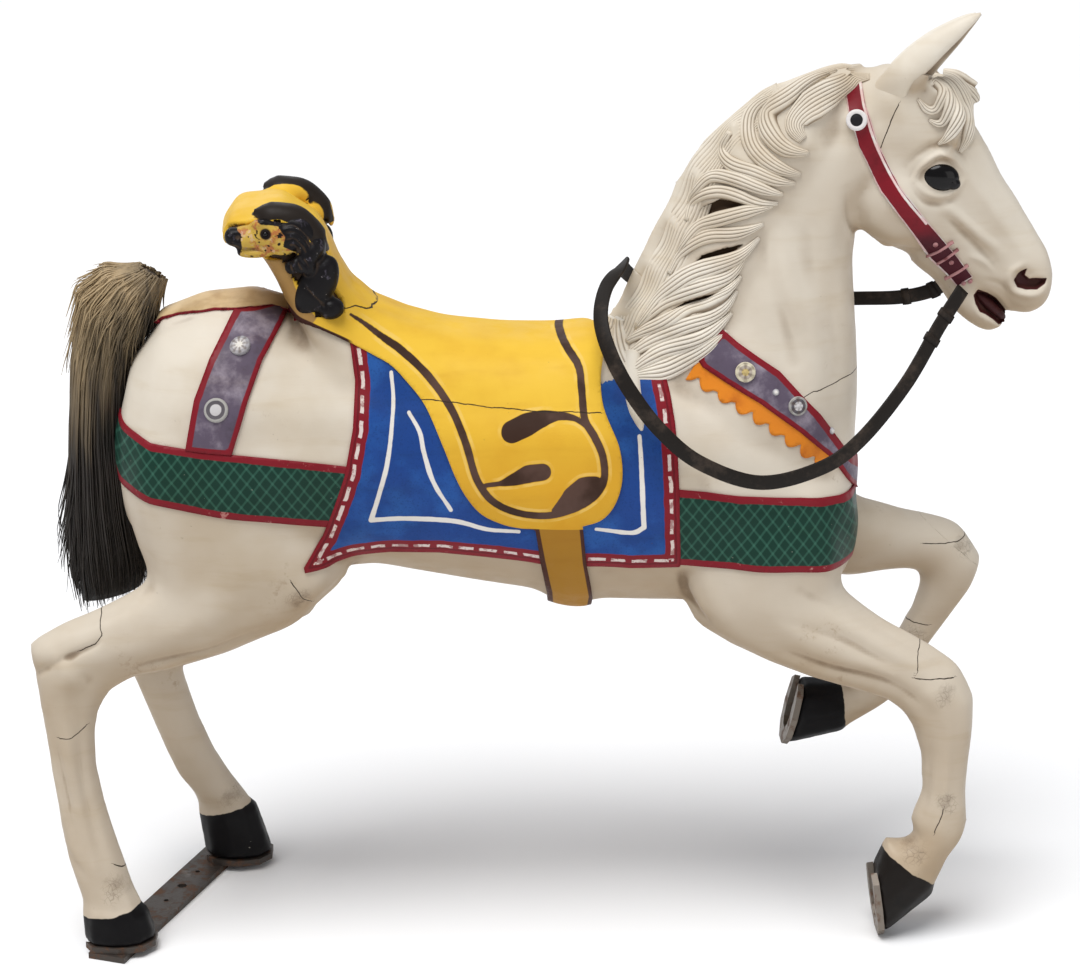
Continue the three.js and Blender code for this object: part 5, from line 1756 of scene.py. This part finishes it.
# %% Iron and leather finishes
def old_iron(name, bare):
    paint = Paint(name)
    scale_rust = paint.noise(60.0, 6, 0.7)
    colour = paint.mix(bare, (0.13, 0.06, 0.03), paint.rise(scale_rust, 0.48, 0.66) * 0.8)
    colour = paint.mix(colour, (0.22, 0.20, 0.18), paint.rise(paint.noise(22.0, 4), 0.62, 0.72) * 0.6)
    rough = 0.45 + 0.35 * paint.rise(scale_rust, 0.45, 0.65)
    return paint.finish(colour, rough, scale_rust, 0.6, 0.8, Metallic=0.35)


def old_leather():
    paint = Paint("harness_leather")
    grain = paint.node("ShaderNodeTexVoronoi", {"feature": "F1"}, {"Vector": paint.place, "Scale": 650.0},
                       "Distance")
    tone = paint.noise(30.0, 5, 0.65)
    colour = paint.mix((0.011, 0.008, 0.006), (0.045, 0.032, 0.024), paint.rise(tone, 0.48, 0.72))
    return paint.finish(colour, 0.42 + 0.25 * tone, grain * 0.3 + tone * 0.5, 0.5, 0.6,
                        Specular_IOR_Level=0.18)


iron = old_iron("rusty_iron", (0.050, 0.040, 0.033))
worn_iron = old_iron("worn_iron", (0.20, 0.17, 0.14))
for node in ("hind_foot_bar", "right_hind_shoe", "left_hind_shoe", "right_fore_shoe", "left_fore_shoe"):
    frame["nodes"][node].data.materials.clear()
    frame["nodes"][node].data.materials.append(worn_iron if "fore" in node else iron)
leather = old_leather()
for piece in (reins, keepers):
    piece.data.materials.append(leather)
print("iron and leather ready")

# %% [markdown]
# ## Floor and light
# The picture has a pale ground and soft light from the front and above. A soft sun from overhead
# gives the modelling, two weaker area lights open the shadows, and a pale world does the rest.

# %% Floor, lights and world
floor = bmesh.new()
bmesh.ops.create_grid(floor, x_segments=1, y_segments=1, size=14)
floor_mesh = bpy.data.meshes.new("floor")
floor.to_mesh(floor_mesh)
floor.free()
floor_piece = bpy.data.objects.new("floor", floor_mesh)
bpy.context.scene.collection.objects.link(floor_piece)
ground = Paint("pale_ground")
floor_mesh.materials.append(ground.finish((0.86, 0.86, 0.86, 1), 0.9))


def area_light(name, place, aim, size, power, colour=(1, 1, 1)):
    data = bpy.data.lights.new(name, "AREA")
    data.size, data.energy, data.color = size, power, colour
    lamp = bpy.data.objects.new(name, data)
    lamp.location = place
    lamp.rotation_euler = (Vector(aim) - Vector(place)).to_track_quat("-Z", "Y").to_euler()
    bpy.context.scene.collection.objects.link(lamp)


area_light("fill", (2.6, -2.4, 1.6), (0.2, 0, 0.6), 2.0, 14, (1.0, 0.97, 0.93))
area_light("back", (-1.0, 3.2, 2.6), (0, 0, 0.7), 2.5, 20)
overhead = bpy.data.lights.new("overhead", "SUN")
overhead.energy, overhead.angle = 3.0, math.radians(40)
overhead_lamp = bpy.data.objects.new("overhead", overhead)
overhead_lamp.rotation_euler = Vector((0.26, 0.32, -1.0)).to_track_quat("-Z", "Y").to_euler()
bpy.context.scene.collection.objects.link(overhead_lamp)
world = bpy.data.worlds.new("studio")
world.use_nodes = True
world.node_tree.nodes["Background"].inputs[0].default_value = (0.92, 0.94, 1.0, 1)
world.node_tree.nodes["Background"].inputs[1].default_value = 0.36
bpy.context.scene.world = world
bpy.context.scene.view_settings.view_transform = "Standard"
print("lights set")

# %% [markdown]
# Every imported solid should carry a material; the last lines print the name of any that has none.

# %% Name the imported solids that have no material
for piece in bpy.context.scene.objects:
    if piece.type == "MESH" and "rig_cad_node" in piece and not piece.data.materials:
        print("no material on", piece.name)
